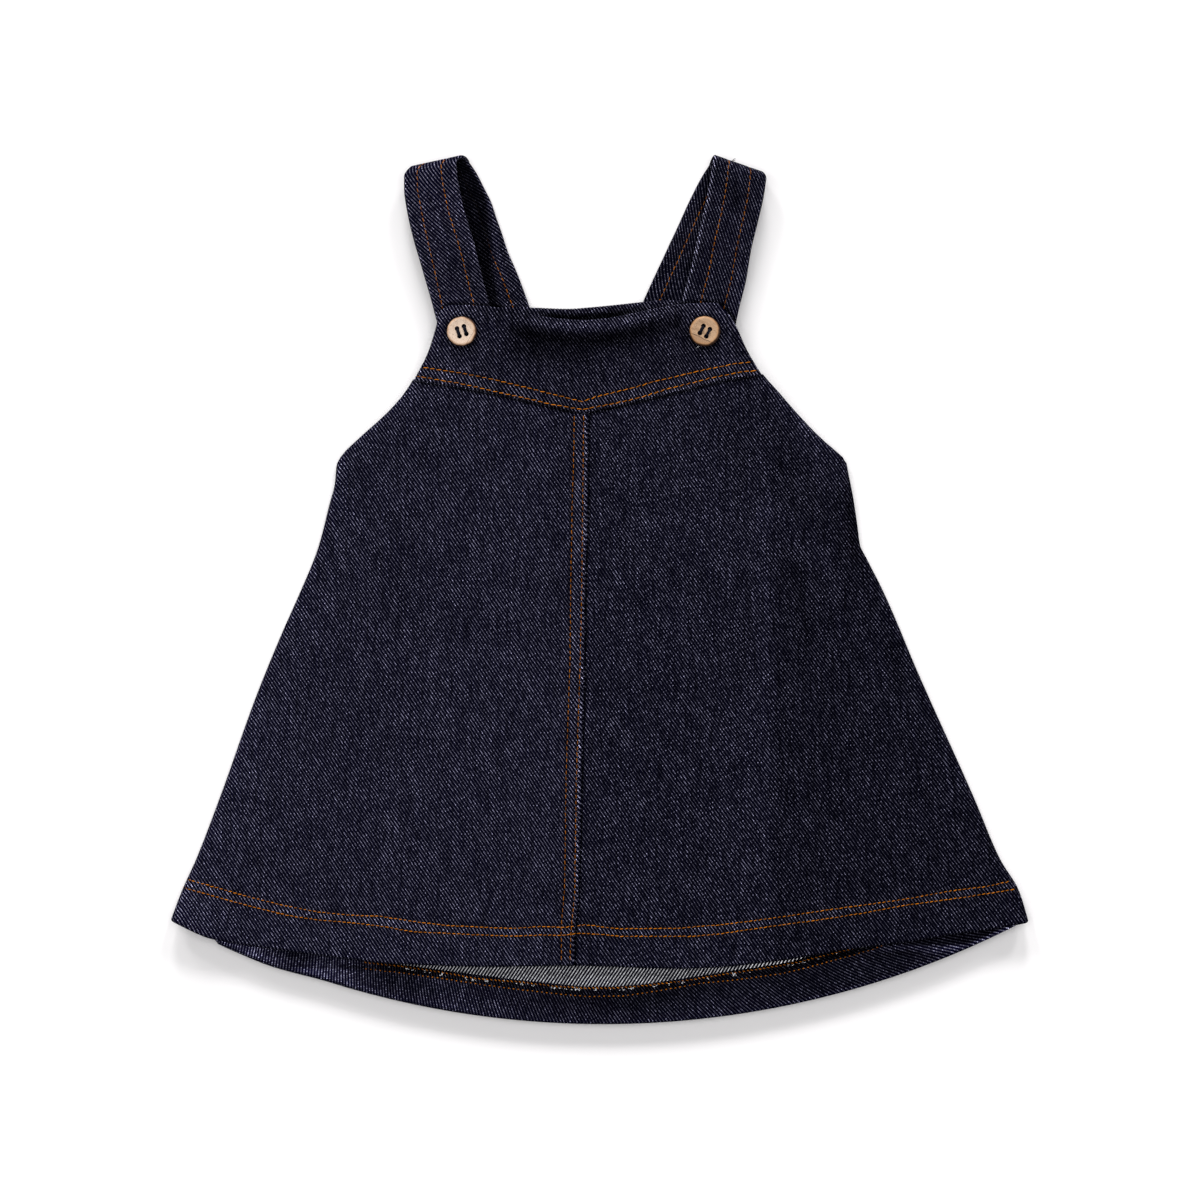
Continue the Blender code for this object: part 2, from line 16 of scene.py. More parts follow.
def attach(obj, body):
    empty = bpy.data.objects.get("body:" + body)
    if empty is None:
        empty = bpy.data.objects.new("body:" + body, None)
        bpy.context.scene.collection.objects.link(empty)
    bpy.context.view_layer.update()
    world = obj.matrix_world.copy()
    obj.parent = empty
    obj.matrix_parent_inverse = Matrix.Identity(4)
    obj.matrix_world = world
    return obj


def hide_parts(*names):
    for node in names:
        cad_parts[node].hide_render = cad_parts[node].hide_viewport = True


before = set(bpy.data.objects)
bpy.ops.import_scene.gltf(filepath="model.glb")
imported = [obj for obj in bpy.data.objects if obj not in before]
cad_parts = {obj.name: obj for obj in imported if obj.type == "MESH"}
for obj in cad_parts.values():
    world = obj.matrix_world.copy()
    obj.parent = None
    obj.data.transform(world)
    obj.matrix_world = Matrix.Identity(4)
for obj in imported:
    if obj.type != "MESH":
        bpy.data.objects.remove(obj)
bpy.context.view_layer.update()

MM = 0.001
RNG = np.random.default_rng(11)

# Cloth, seams and weave
DENIM = 1.0
STRAP_CLOTH = 2.0
GAP = 0.3
SEAM_LAP = 0.3         # a lapped seam's upper edge reaches this far over the lower cloth
HEM_DEPTH = 20.0
HEM_STEPS = np.arange(0, HEM_DEPTH + 0.1, 0.8)     # distances up from a hem's fold
FOLD_RADIUS = (DENIM + GAP) / 2
FOLD_REACH = FOLD_RADIUS + DENIM / 2
FOLD_STEPS = 8
EDGE_ROLL = 3.2
WARP_PITCH = 0.427
WEFT_PITCH = 0.64
GRAIN_TURN = 0.0003    # per millimetre: how the right panel's grain turns across it
GRAIN_FLARE_Y = -80.0
FLAT_TOP = 140.0       # the flat coordinate of the bib's and the facing's top

# Colours of the cloth's yarns and of singed wood
INDIGO = (0.0015, 0.0014, 0.0070)
WEFT_DOT = (0.125, 0.122, 0.178)
WEFT_FLOAT = (0.45, 0.45, 0.47)
SINGED = (0.42, 0.19, 0.06)

# Outlines, seen from above
LEFT_EDGE = (          # y, x: bib side, armhole, underarm corner, side seam, hem corner
    (141.7, -75.6), (140.3, -78.2), (138.4, -79.7), (134.8, -80.9), (132.3, -81.4), (127.3, -82.8),
    (119.8, -85.3), (105, -92.8), (97.3, -97.8), (89.8, -104.3), (74.8, -120.8), (67.3, -128.8),
    (63, -131.6), (52.3, -132.8), (44.8, -134.8), (22.3, -140.6), (-5.3, -151.8), (-21.8, -159.1),
    (-52.8, -171.8), (-105.3, -190.7), (-135.3, -202.3), (-150.3, -209), (-166.1, -214.9),
)
RIGHT_EDGE = (         # y, x: the same places on the other side, with a dent below the underarm
    (143, 59), (142, 60.3), (140.3, 61.6), (137.8, 63.9), (135.8, 65.7), (132.3, 67.8),
    (119.8, 73.8), (107.5, 81.3), (97.3, 90.3), (89.8, 96.8), (74.8, 111.3), (67.3, 120.3),
    (64, 123.6), (59.8, 124.5), (44.8, 127.4), (29.8, 129.6), (22.3, 130.6), (14.8, 134.2),
    (-0.3, 141.9), (-45.3, 161.2), (-105.3, 188.1), (-135.3, 200.9), (-150.3, 209.9), (-166.9, 215),
)
EDGES = {"left": LEFT_EDGE, "right": RIGHT_EDGE}
PANEL_CORNERS = {"left": (104.4, -165.5), "right": (106.9, -166.3)}    # y at the yoke and hem
YOKE_SIDES = {"left": (138.4, 105.4), "right": (140.3, 107.9)}    # y at its top and foot
CENTRE_FOOT = -188.4
CENTRE_SEAM = (        # y, x
    (92, -5.7), (84.3, -5.9), (52, -6), (44, -6.1), (29, -6.5), (14, -7), (6.5, -7.2), (-31, -7.75),
    (-81, -8.9), (-131, -10.1), (-152.8, -10.7), (-180.3, -13), (-190, -13),
)
BIB_TOP = (            # x, y
    (-80.9, 134.8), (-79.7, 138.4), (-78.2, 140.3), (-75.6, 141.7), (-72.3, 142.1), (-57.3, 141.6),
    (-38.8, 138.3), (-19.3, 135.3), (-7.8, 134.6), (3.3, 135.5), (18.3, 138.3), (33.8, 141.5),
    (45, 142.9), (56, 143.2), (59, 143), (60.3, 142), (61.6, 140.3), (63.9, 137.8),
)
V_POINT = (-8.8, 88.0)
YOKE_SEAM = (          # x, y
    (-93.2, 105), (-76.3, 102.4), (-53.8, 98.3), (-30.8, 93.1), V_POINT, (7.3, 91.5), (38.3, 98.8),
    (64.3, 105.2), (81.5, 107.5),
)
FRONT_HEM = (          # x, y
    (-214.3, -165.5), (-194, -174.4), (-158.8, -180.3), (-97.3, -187.3), (-55, -188.8),
    (-14.8, -188.3), (40, -189.8), (65, -188.7), (78, -187.1), (90.8, -185.7), (121.3, -180.5),
    (152, -176.4), (180, -172), (192.8, -170.3), (214.5, -166.3),
)
BACK_TOP = (           # x, y
    (-68.8, 141.3), (-34.8, 141.2), (-15.8, 140.6), (-4.3, 141.4), (3.3, 142.1), (22.3, 144.1),
    (32.8, 145), (56.3, 145),
)
BACK_TOP_CORNER = {"left": -68.8, "right": 56.3}
UNDERARM_Y = 63.5
SEAM_UNDERARM_Y = 62.0
BACK_ARMHOLES = {      # y, x
    "left": ((141.3, -68.8), (119, -79.5), (102, -90), (81, -109.5), (UNDERARM_Y, -128)),
    "right": ((145, 56.3), (119, 69), (102, 80.5), (81, 101), (UNDERARM_Y, 120.5)),
}
BACK_CORNER_Y = {"left": -163.8, "right": -165.6}
BACK_BAND_END = (      # x, y: the raw edge of the turned-up band
    (-214, -150), (-160, -174.5), (-118, -185.6), (-77.8, -191), (-41, -195.5), (-8.3, -198.7),
    (8, -198.7), (22.3, -197.5), (63.3, -191.6), (70.3, -190.5), (77.8, -189.5), (85.3, -188.4),
    (92.8, -187.3), (101, -185.5), (126, -178.5), (170, -164.5), (214, -150),
)
BAND_PAINTED_LIGHT = (         # x, painted light added in the fronts' cast shadow, that shadow's reach, painted light past it
    (-214, 18, 9, 10), (-176, 16, 9, 8), (-160, 5, 8, 2.4), (-150, 2.8, 8, 1.7), (-135, 8, 5.5, 1),
    (-120, 5.2, 3.6, 0.2), (-102, 0.5, 6, 0), (-80, 0.1, 6, 0.1), (110, 0.1, 6, 0),
    (130, 0.2, 4, -0.15), (150, 2.2, 3.6, -0.1), (172, 3, 8, 0), (214, 2, 8, 0),
)
BACK_HEM_RADIUS = 456.0
BACK_HEM_LOWEST = (1.8, -217.5)

# Heights
FRONT_HEIGHTS = (      # y, edge, shoulder (inside the rolled edge), crown (at the middle)
    (-190, 0.3, 4.8, 3.4), (-165, 0.3, 4.8, 4.4), (-130, 0.3, 4.4, 6.2), (-60, 0.3, 3.8, 7.4),
    (20, 0.3, 3.4, 7.3), (52, 0.3, 3.6, 7.2), (61, 0.3, 3.8, 7.2), (66, 2, 4.2, 7.2),
    (78, 3.4, 5.2, 7.4), (100, 6, 7.2, 8), (113, 7.8, 8.3, 8.4), (145, 8.2, 8.5, 8.4),
)
CROWN_POWER = 3.0
HEM_CURL = {"height": 3.6, "over": 42.0}   # the hems lift off the table towards their edge
FOLDS = (              # from x, y, to x, y, spread across, height (below 0 is a trough)
    (82, 96, 84, -114, 6, 0.8), (97, 16, 102, -38, 7, -1.6), (123, 32, 125, 18, 6, -1.3),
    (74, 88, 79, 60, 5, -0.9), (91, -108, 131, -120, 7, -0.9), (-130, 41, -114, 25, 4.5, 0.8),
    (-101, 4, -99, -14, 10, -0.8), (-106, -205, -104, -150, 26, 1.7),
    (158, -190, 150, -140, 24, 1.9),
)
PAINTED_SHADING_LINES = (              # painted light and shade along lines: from x, y, to x, y, spread, how much lighter (below 0 darker) it is drawn there
    (96.8, 12, 104, -26, 3.6, -0.32), (126.5, 44, 129, 18, 5, -0.5), (97, 92, 110, 66, 9, 0.65),
    (86, 38, 112, 16, 8, 0.38), (64, 80, 72, 55, 8, -0.14), (54, -4, 66, -34, 9, -0.14),
    (83, 35, 84, -155, 3.6, 0.22), (122, -6, 140, -40, 9, 0.15), (-130, 41, -116, 27, 3.5, 0.2),
    (75, 102, 83, 80, 3, -0.2), (-51, 128, -50, 108, 5, 0.3), (-38, 119, -10, 116, 4.5, -0.3),
    (30, 113, 50, 110, 5, -0.22), (68, 126, 74, 117, 4, -0.45), (-106, 94, -84, 103, 5, 0.2),
    (54, 214, 66, 197, 6.5, -0.28), (47, 203, 44, 186, 3.5, 0.35), (66, 178, 66, 158, 5.5, 0.2),
    (72, 160, 70, 145, 3, 0.3), (-90, 205, -82, 182, 11, 0.1), (-72, 168, -60, 148, 8, -0.15),
    (-48, 180, -38, 142, 7, -0.4), (-18.5, 92, -18.5, 48, 5, -0.2), (-24, 30, -22, -30, 7, -0.12),
    (70, 75, 72, -40, 6, -0.14), (-121, 54, -120, 48, 5, -0.2), (-99, 0, -99, -5, 7, -0.18),
    (-36, 124, -33, 119, 4.5, -0.3), (-15, 113, -14, 110, 4.5, -0.22),
    (-20, -150, -20, -178, 8, -0.15), (-75, 158, -64, 154, 6, -0.2), (-48, 149, -46, 145, 4, -0.35),
    (-84, 115, -80, 114, 4, -0.22), (121, 18, 125, -6, 5, -0.25), (146, -30, 150, -44, 3.5, -0.3),
    (194, -120, 198, -131, 3.5, -0.3), (34, 143, 44, 124, 4, -0.28), (-45, 131, 12, 130, 3.5, 0.3),
    (79, 89, 80, 84, 3, 0.3), (16, 76, 24, 34, 10, 0.07), (36, -80, 60, -165, 40, -0.09),
    (-8, -176, -4, -186, 10, -0.12),
)
BIB_ROLL = {"crest": 5.5, "drop": 2.4}
BIB_STEP = {"top": 5.0, "foot": 13.5, "end": 46.0, "height": 4.0, "from": -50.0, "to": 47.0}
CENTRE_RIDGE = 6.5
YOKE_RIDGE = 7.0
SEAM_RIDGE = 0.9
DITCH = 0.35

# Straps
STRAP_LOOPS = {        # the loop at the top: its reach and how much it narrows, at its two sides
    "strap_left": ((4.8, 3.2), (3.7, -0.6)), "strap_right": ((4.6, 0.1), (3.1, 2.2)),
}
STRAP_FRONT = {        # left x, left y, right x, right y, height at the left edge, at the right
    "strap_left": (
        (-76.4, 114.8, -48.3, 121.6, 6, 6.1), (-81.6, 134.8, -54.7, 141.3, 6, 6.2),
        (-84.2, 144.8, -57.2, 150.9, 6.3, 6.9), (-87.1, 154.8, -59.8, 161.3, 6.8, 8),
        (-90, 164.8, -62.1, 171.3, 7.2, 8.7), (-92.9, 174.8, -65.1, 181.4, 7.6, 9),
        (-95.3, 184.8, -67.9, 190.9, 8, 8.9), (-97.1, 194.8, -70.1, 201.6, 8.2, 8.7),
        (-97.6, 199.8, -71, 206.5, 8.3, 8.6), (-97.6, 205.2, -71.4, 211.6, 8.3, 8.5),
    ),
    "strap_right": (
        (37, 123, 65, 117.4, 6.1, 6), (41.7, 146.6, 69.7, 140, 6.2, 6),
        (45.6, 161, 73.3, 154.6, 7.4, 6.6), (49, 176.3, 75.7, 169.2, 8.3, 7.2),
        (52.3, 190, 79.4, 184.6, 8.6, 7.8), (54.5, 201, 81.9, 195.5, 8.6, 8.1),
        (56.2, 212, 83.3, 204.6, 8.5, 8.3),
    ),
}
STRAP_BACK = {
    "strap_left": (
        (-94, 205.5, -65, 213.5, 2.2, 2.6), (-92, 202, -63.4, 211.3, 1.8, 2),
        (-88.6, 197, -60.9, 207.3, 1.3, 1.5), (-85.2, 191.5, -58.6, 202.7, 1, 1.2),
        (-82.6, 186.6, -56.3, 198.2, 1, 1), (-80.9, 182.9, -54.5, 194.6, 1, 1),
        (-78.3, 175.3, -51.6, 186, 1, 1), (-75.9, 168.9, -49.1, 179, 1, 1),
        (-72.9, 160, -46.2, 170, 1, 1), (-68.4, 148.7, -41, 157.8, 1.1, 1.1),
        (-65.7, 141.6, -35.2, 142, 2.3, 2.3), (-62.5, 133.3, -32.2, 133.3, 2.3, 2.3),
    ),
    "strap_right": (
        (54.9, 212.4, 82.6, 203.9, 1.1, 1), (51.4, 206.9, 77.7, 196.3, 1, 1),
        (44.4, 193.2, 70.4, 182.4, 1, 1), (39.6, 182.6, 65, 171, 1, 1),
        (32.6, 167.6, 58.6, 156.4, 1.1, 1.1), (22.6, 145.8, 53.3, 144.8, 2.3, 2.3),
        (18.9, 137, 49.6, 137, 2.3, 2.3),
    ),
}
STRAP_ROWS = {         # along, distance in from the strap's left edge: two rows on each part
    "strap_left": {
        "front": (
            ((0, 4.4), (0.2, 4.5), (0.5, 6), (0.8, 7.2), (1, 7.2)),
            ((0, 20.8), (0.2, 20.7), (0.5, 20.9), (0.8, 20.6), (1, 20.2)),
        ),
        "back": (((0, 7), (1, 7)), ((0, 20.6), (0.4, 20.6), (1, 21.6))),
    },
    "strap_right": {
        "front": (
            ((0, 9), (0.3, 9.2), (0.7, 9), (1, 8.4)), ((0, 21.2), (0.3, 21), (0.7, 20.6), (1, 20)),
        ),
        "back": (((0, 7.4), (0.5, 7.2), (1, 7)), ((0, 21), (1, 21))),
    },
}
STRAP_EDGE_WEAR_AND_HIGHLIGHT = {         # how much lighter the folded edges are drawn, worn and with a painted highlight: front's left and right, back's
    "strap_left": ((0.35, 0.7), (0.2, 0.75)), "strap_right": ((3.4, 0.4), (0.75, 0.2)),
}
STRAP_STEP = 1.5
STRAP_GAP_PAINTED_SHADOW = (    # y, how far right of the left strap's front its back is painted in shadow, and is lit
    (212, 11, 15), (195, 10.4, 14.4), (183, 8.2, 12.8), (172, 5.8, 10.8), (150, 3, 8.2),
    (140, 3.2, 8.4),
)
FACING_DEPTH = 22.0
FACING_Z = DENIM + GAP + DENIM / 2
FACING_LIFT = STRAP_CLOTH + 1.4 * GAP
FACING_RISE = 6.0
FACING_INSET = 0.6
FACING_FLARE = 7.0

# Rows of topstitching, seen from above (x, y)
YOKE_ROWS = (
    (
        (-88.3, 110.8), (-69.3, 108.1), (-53.8, 105), (-38.5, 101.3), (-23.3, 97.5), (-8.8, 93.8),
        (-0.3, 96.5), (20.3, 101.6), (26.3, 103.5), (49.3, 108.9), (68.3, 112.8), (76.8, 113.6),
    ),
    (
        (-92.3, 106.6), (-69.3, 102.8), (-54.3, 99.3), (-38.5, 95.8), (-23.3, 92.3), (-8.8, 89.8),
        (7.3, 92.8), (20.3, 95.8), (33.8, 100.1), (56.8, 105.8), (72.3, 108.9), (79, 109.1),
    ),
)
CENTRE_ROWS = (
    (
        (-12.6, 87), (-12.8, 72), (-13.2, 54), (-13.5, 47.8), (-14.4, -0.3), (-14.7, -34.3),
        (-16.7, -95.3), (-17.4, -148.8), (-19.1, -168.8), (-19.1, -187.3),
    ),
    (
        (-7.9, 87), (-8.4, 47.8), (-8.9, -0.3), (-9.6, -34.3), (-11.6, -95.3), (-12.4, -152.8),
        (-14.3, -171.8), (-14.8, -187.3),
    ),
)
FRONT_HEM_ROWS = (
    (
        (-206.5, -144.8), (-192.3, -148.8), (-176.8, -153.3), (-158.8, -157.8), (-140.3, -161.3),
        (-124.8, -162.8), (-109.8, -163.3), (-97.3, -165.3), (-76.8, -168), (-59.8, -168.8),
        (-44.3, -169.6), (-29.3, -168.6), (-18.3, -168.9), (-10.8, -168.2), (-6.8, -167.6),
        (1.5, -168.8), (10.8, -169.8), (24.3, -169.5), (39.8, -169.5), (51.3, -168.3),
        (60.3, -167.8), (85.8, -164.5), (111.3, -160.6), (131.8, -157.8), (152.3, -154.8),
        (177.8, -150.3), (192.8, -148.6), (207.3, -145.4),
    ),
    (
        (-208.5, -148.8), (-189.3, -154.3), (-172.8, -158.8), (-156.5, -162.8), (-142.3, -165),
        (-121.8, -166.8), (-107.5, -168.5), (-93.3, -171.1), (-76.8, -171.9), (-59.8, -172.8),
        (-42.3, -173.4), (-29.3, -172.8), (-19.3, -173), (-10.8, -172), (-0.3, -172.4),
        (10.8, -173.5), (30.8, -173.5), (45.8, -173.5), (60.3, -172.2), (85.8, -168.5),
        (111.3, -165), (131.8, -161.8), (152.3, -157.8), (182.8, -153.8), (210, -149.5),
    ),
)
BACK_HEM_ROWS = (
    (
        (-118, -186.5), (-97, -188.8), (-77.8, -191.8), (-61.3, -194.8), (-41, -196.3),
        (-22.8, -198.5), (-8.3, -199.5), (8, -199.5), (22.3, -198.3), (40.8, -196.1),
        (63.3, -192.4), (78.3, -190.2), (89, -188.5), (100, -186.3), (126, -179.8), (142, -175.5),
    ),
    (
        (-118, -189.6), (-97, -192), (-77.8, -194.8), (-63.3, -197), (-47.3, -199.3),
        (-22.8, -202.1), (-6.3, -203.6), (12.3, -203.3), (28.3, -201), (50.8, -197), (65.3, -195.7),
        (79.3, -193.9), (90, -192.4), (102, -189.7), (128, -182.6), (136.5, -180), (142, -178),
    ),
)

# Thread
THREAD_SIDES = 6
THREAD_CAP = np.array([[0, 1, 2, 3], [3, 4, 5, 0]])
THREAD_TWIST = 9.0
STITCH_SINK = 0.3      # how far a stitch's ends dip into the cloth
HEM_STITCH = {"pitch": 2.4, "length": 2.15}
FIBRE_RADIUS = 0.095

BUTTON_RADII = {"button_left": 7.4, "button_right": 7.6}
BUTTON_HEIGHT = 2.6
BUTTON_HOLE_RADIUS = 1.2
BUTTON_HOLE_SPACING = (3.6, 4.0)
BUTTONS = {            # x, y, turn of the holes in degrees
    "button_left": (-68.7, 128.8, 18), "button_right": (52.6, 128.8, -27),
}


# ---------------------------------------------------------------- curves and heights

def smooth(table, at):
    """A curve through the table's (place, value) rows, never swinging past them, read at `at`."""
    place, value = np.array(sorted(table), float).T
    step = np.diff(place)
    slope = np.diff(value) / step
    tangent = np.concatenate([slope[:1], np.zeros(len(step) - 1), slope[-1:]])
    for i in range(1, len(step)):
        if slope[i - 1] * slope[i] > 0:
            before, after = 2 * step[i] + step[i - 1], step[i] + 2 * step[i - 1]
            tangent[i] = (before + after) / (before / slope[i - 1] + after / slope[i])
    at = np.clip(np.asarray(at, float), place[0], place[-1])
    i = np.clip(np.searchsorted(place, at) - 1, 0, len(step) - 1)
    s = (at - place[i]) / step[i]
    return (
        value[i] * (1 + 2 * s) * (1 - s) ** 2
        + value[i + 1] * s * s * (3 - 2 * s)
        + step[i] * (tangent[i] * s * (1 - s) ** 2 - tangent[i + 1] * s * s * (1 - s))
    )


def curves(table, at):
    """Each value column of a table as a smooth curve of its first column, read at `at`."""
    return [smooth([(row[0], row[k]) for row in table], at) for k in range(1, len(table[0]))]


def distances(points):
    """How far along a polyline each of its points lies."""
    return np.concatenate([[0.0], np.cumsum(np.linalg.norm(np.diff(points, axis=0), axis=1))])


def fade(value, start, end):
    s = np.clip((np.asarray(value, float) - start) / (end - start), 0.0, 1.0)
    return s * s * (3 - 2 * s)


def bell(value, centre, spread):
    return np.exp(-(((value - centre) / spread) ** 2))


def ripple(x, y, seed, size, count=9):
    """A soft random height field: waves of about this size in random directions."""
    rng = np.random.default_rng(seed)
    total = np.zeros(np.shape(x))
    for _ in range(count):
        turn, phase = rng.uniform(0, math.pi), rng.uniform(0, 2 * math.pi)
        length = size * rng.uniform(0.7, 1.6)
        total = total + np.sin((x * math.cos(turn) + y * math.sin(turn)) * 2 * math.pi / length
                               + phase)
    return total / count**0.5


def yoke_seam(x):
    left = [row for row in YOKE_SEAM if row[0] <= V_POINT[0]]
    right = [row for row in YOKE_SEAM if row[0] >= V_POINT[0]]
    return np.where(x < V_POINT[0], smooth(left, x), smooth(right, x))


def hem_drop(x):
    """How much lower the back's hem hangs at its left end, where it shows below the front's."""
    return 2.5 * fade(x, -194.0, -190.0) * (1 - fade(x, -170.0, -134.0))


def back_hem(x):
    across = np.asarray(x, float) - BACK_HEM_LOWEST[0]
    curve = BACK_HEM_LOWEST[1] + BACK_HEM_RADIUS - np.sqrt(BACK_HEM_RADIUS**2 - across**2)
    return curve - hem_drop(x)


def hem_curl(x, y):
    """How far the cloth lifts towards the back's hem."""
    inside = y - back_hem(np.clip(x, -214, 214))
    return HEM_CURL["height"] * (1 - np.clip(inside / HEM_CURL["over"], 0, 1)) ** 2


def near_line(x, y, x0, y0, x1, y1, spread):
    """1 on a line, falling off beside it and more slowly past its ends."""
    dx, dy = x1 - x0, y1 - y0
    length = math.hypot(dx, dy)
    along = ((x - x0) * dx + (y - y0) * dy) / length
    across = ((x - x0) * dy - (y - y0) * dx) / length
    past = np.maximum(np.maximum(-along, along - length), 0.0)
    return np.exp(-(across**2 + past**2 / 3) / spread**2)


def fold_height(x, y):
    return sum(height * near_line(x, y, *line) for *line, height in FOLDS)


def painted_shading_along_lines(x, y):
    """Painted light and shading: where the cloth is drawn lighter and where darker than its
    neighbourhood, as creases and light make it.
    """
    total = 1.0
    for *line, amount in PAINTED_SHADING_LINES:
        total = total * (1 + amount * near_line(x, y, *line))
    return total


def below_neck(x, y):
    return smooth(BIB_TOP, x) - y


def from_seams(x, y):
    """How far left of the centre seam a place is, and how far above the yoke's seam."""
    return smooth(CENTRE_SEAM, y) - x, y - yoke_seam(x)


def bib_folds(x, y):
    """The neck edge rolls over, and the bib steps down below the roll."""
    below = below_neck(x, y)
    inside = fade(x, BIB_STEP["from"], BIB_STEP["from"] + 20.0) * fade(
        -x, -BIB_STEP["to"], -BIB_STEP["to"] + 18.0
    )
    edge = BIB_ROLL["drop"] * np.clip(1 - below / BIB_ROLL["crest"], 0, 1) ** 2
    step = fade(below, BIB_STEP["top"], BIB_STEP["foot"])
    step = step * (1 - fade(below, BIB_STEP["foot"], BIB_STEP["end"]))
    return -inside * (edge + BIB_STEP["height"] * step)


def seam_relief(x, y):
    """The doubled cloth beside the centre and yoke seams, and the ditches along them."""
    from_centre, above_yoke = from_seams(x, y)
    skirt = 1 - fade(above_yoke, -1, 0)
    ditch = DITCH * bell(np.minimum(from_centre + SEAM_LAP, 0), 0, 1.2) * skirt
    centre = SEAM_RIDGE * upper_strip(from_centre, CENTRE_RIDGE) * skirt
    centre = centre - ditch * (from_centre <= -SEAM_LAP + 0.01)
    yoke = SEAM_RIDGE * upper_strip(above_yoke, YOKE_RIDGE)
    return centre + yoke - DITCH * bell(above_yoke, -SEAM_LAP, 1.0) * (above_yoke < -SEAM_LAP)


def upper_strip(inside, width):
    """1 on the doubled cloth inside a lapped seam's edge, 0 outside it."""
    return (inside > -SEAM_LAP - 0.001) * (1 - fade(inside, width, width + 3.0))


def armhole_share(y):
    return fade(y, UNDERARM_Y, UNDERARM_Y + 12.0)


def edge_inset(y):
    return DENIM / 2 * (1 - armhole_share(y))


def row_distance(rows, x, y):
    """Signed distance in y from a row of stitches given as (x, y) points."""
    px, py = np.array(rows).T
    return y - np.interp(x, px, py)


def beside_row(row, x, y):
    """Signed distance in x from a row of stitches that runs down the cloth."""
    px, py = np.array(row).T
    return x - np.interp(-y, -py, px)


def front_height(x, y):
    """Height of the front's mid-surface."""
    left, right = smooth(LEFT_EDGE, y), smooth(RIGHT_EDGE, y)
    edge, shoulder, crown = curves(FRONT_HEIGHTS, y)
    share = np.clip((x - left) / (right - left), 0.0, 1.0)
    dome = shoulder + (crown - shoulder) * (1 - np.abs(2 * share - 1) ** CROWN_POWER)
    dome = dome + fold_height(x, y) + bib_folds(x, y) + seam_relief(x, y)
    dome = dome + 0.16 * ripple(x, y, 3, 46.0) + 0.05 * ripple(x, y * 0.5, 4, 14.0)
    for rows, depth, width in ((FRONT_HEM_ROWS, 0.22, 0.8), (YOKE_ROWS, 0.18, 0.7)):
        for row in rows:
            dome = dome - depth * bell(row_distance(row, x, y), 0, width)
    for row in CENTRE_ROWS:
        dome = dome - 0.15 * (y < yoke_seam(x)) * bell(beside_row(row, x, y), 0, 0.7)
    inward = np.maximum(np.minimum(x - left, right - x) - edge_inset(y), 0.0)
    roll = np.clip(1 - inward / EDGE_ROLL, 0.0, 1.0)
    upright, flat = 1 - np.sqrt(1 - roll**2), roll**2
    low = dome - (dome - edge) * (upright + (flat - upright) * armhole_share(y))
    return low + hem_curl(x, y)


def band_height(x, y):
    """Height of the mid-surface of the back's turned-up band."""
    return DENIM / 2 + hem_curl(x, y) + 2 * FOLD_RADIUS


# ---------------------------------------------------------------- grids and walls

def patch(start, end, top, bottom, columns):
    """A grid between four edges: points down its left and right edges, top and bottom as y of x."""
    share = columns / (end[:, 0] - start[:, 0])[:, None]
    down = ((start[0, 1] - start[:, 1]) / (start[0, 1] - start[-1, 1]))[:, None]
    ruled = start[:, None] * (1 - share[..., None]) + end[:, None] * share[..., None]
    first_x = start[0, 0] + (end[0, 0] - start[0, 0]) * share
    last_x = start[-1, 0] + (end[-1, 0] - start[-1, 0]) * share
    first_line = start[0, 1] * (1 - share) + end[0, 1] * share
    last_line = start[-1, 1] * (1 - share) + end[-1, 1] * share
    lift = (1 - down) * (top(first_x) - first_line) + down * (bottom(last_x) - last_line)
    return ruled[..., 0], ruled[..., 1] + lift


def grid_tangents(points, axis):
    span = np.diff(points, axis=axis)
    span = span / np.linalg.norm(span, axis=-1, keepdims=True)
    first, last = np.take(span, [0], axis), np.take(span, [-1], axis)
    both = np.concatenate([first, span], axis) + np.concatenate([span, last], axis)
    return both / np.linalg.norm(both, axis=-1, keepdims=True)


def grid_normals(points):
    normal = np.cross(grid_tangents(points, 0), grid_tangents(points, 1))
    return normal / np.linalg.norm(normal, axis=-1, keepdims=True)


def turned_edge(points, side, depth_rows):
    """The grid with its last row folded over: an arc, then rows that return beside the cloth."""
    normals = grid_normals(points)
    out = points[-1] - points[-2]
    out = out / np.linalg.norm(out, axis=-1, keepdims=True)
    toward = side * normals[-1]
    centre = points[-1] + toward * FOLD_RADIUS
    arc = [
        centre - toward * FOLD_RADIUS * math.cos(turn) + out * FOLD_RADIUS * math.sin(turn)
        for turn in np.linspace(0, math.pi, FOLD_STEPS + 1)[1:]
    ]
    back = [points[-k] + side * 2 * FOLD_RADIUS * normals[-k] for k in range(2, depth_rows + 2)]
    return np.concatenate([points, np.array(arc), np.array(back)])


def flat_cloth(points, zero_column, zero_v):
    """Flat coordinates of a grid: along each row from one column, and down from the first row."""
    across = np.linalg.norm(np.diff(points[..., (0, 2)], axis=1), axis=-1)
    u = np.concatenate([np.zeros((len(points), 1)), np.cumsum(across, axis=1)], axis=1)
    u = u + (points[:, zero_column, 0] - u[:, zero_column])[:, None]
    down = np.linalg.norm(np.diff(points[..., (1, 2)], axis=0), axis=-1)
    v = zero_v - np.concatenate([np.zeros((1, points.shape[1])), np.cumsum(down, axis=0)])
    return u, v + (points[:1, :, 1] - zero_v)


def edge_taper(count, near):
    """Half thickness across a grid's columns or rows, rounded off at the ends in `near`."""
    half = DENIM / 2
    shape = np.full(count, half)
    profile = half * np.sqrt(1 - (1 - np.linspace(0.02, 1.0, 3)) ** 2)
    if near[0]:
        shape[:3] = np.minimum(shape[:3], profile)
    if near[1]:
        shape[-3:] = np.minimum(shape[-3:], profile[::-1])
    return shape


def corners(grid):
    """The four corners of each of a grid's cells, in order round it."""
    return np.stack([grid[:-1, :-1], grid[1:, :-1], grid[1:, 1:], grid[:-1, 1:]], 2)


def closed(index):
    """A grid of point numbers with its first column again after the last."""
    return np.column_stack([index, index[:, 0]])


def link(obj):
    bpy.context.scene.collection.objects.link(obj)
    return obj


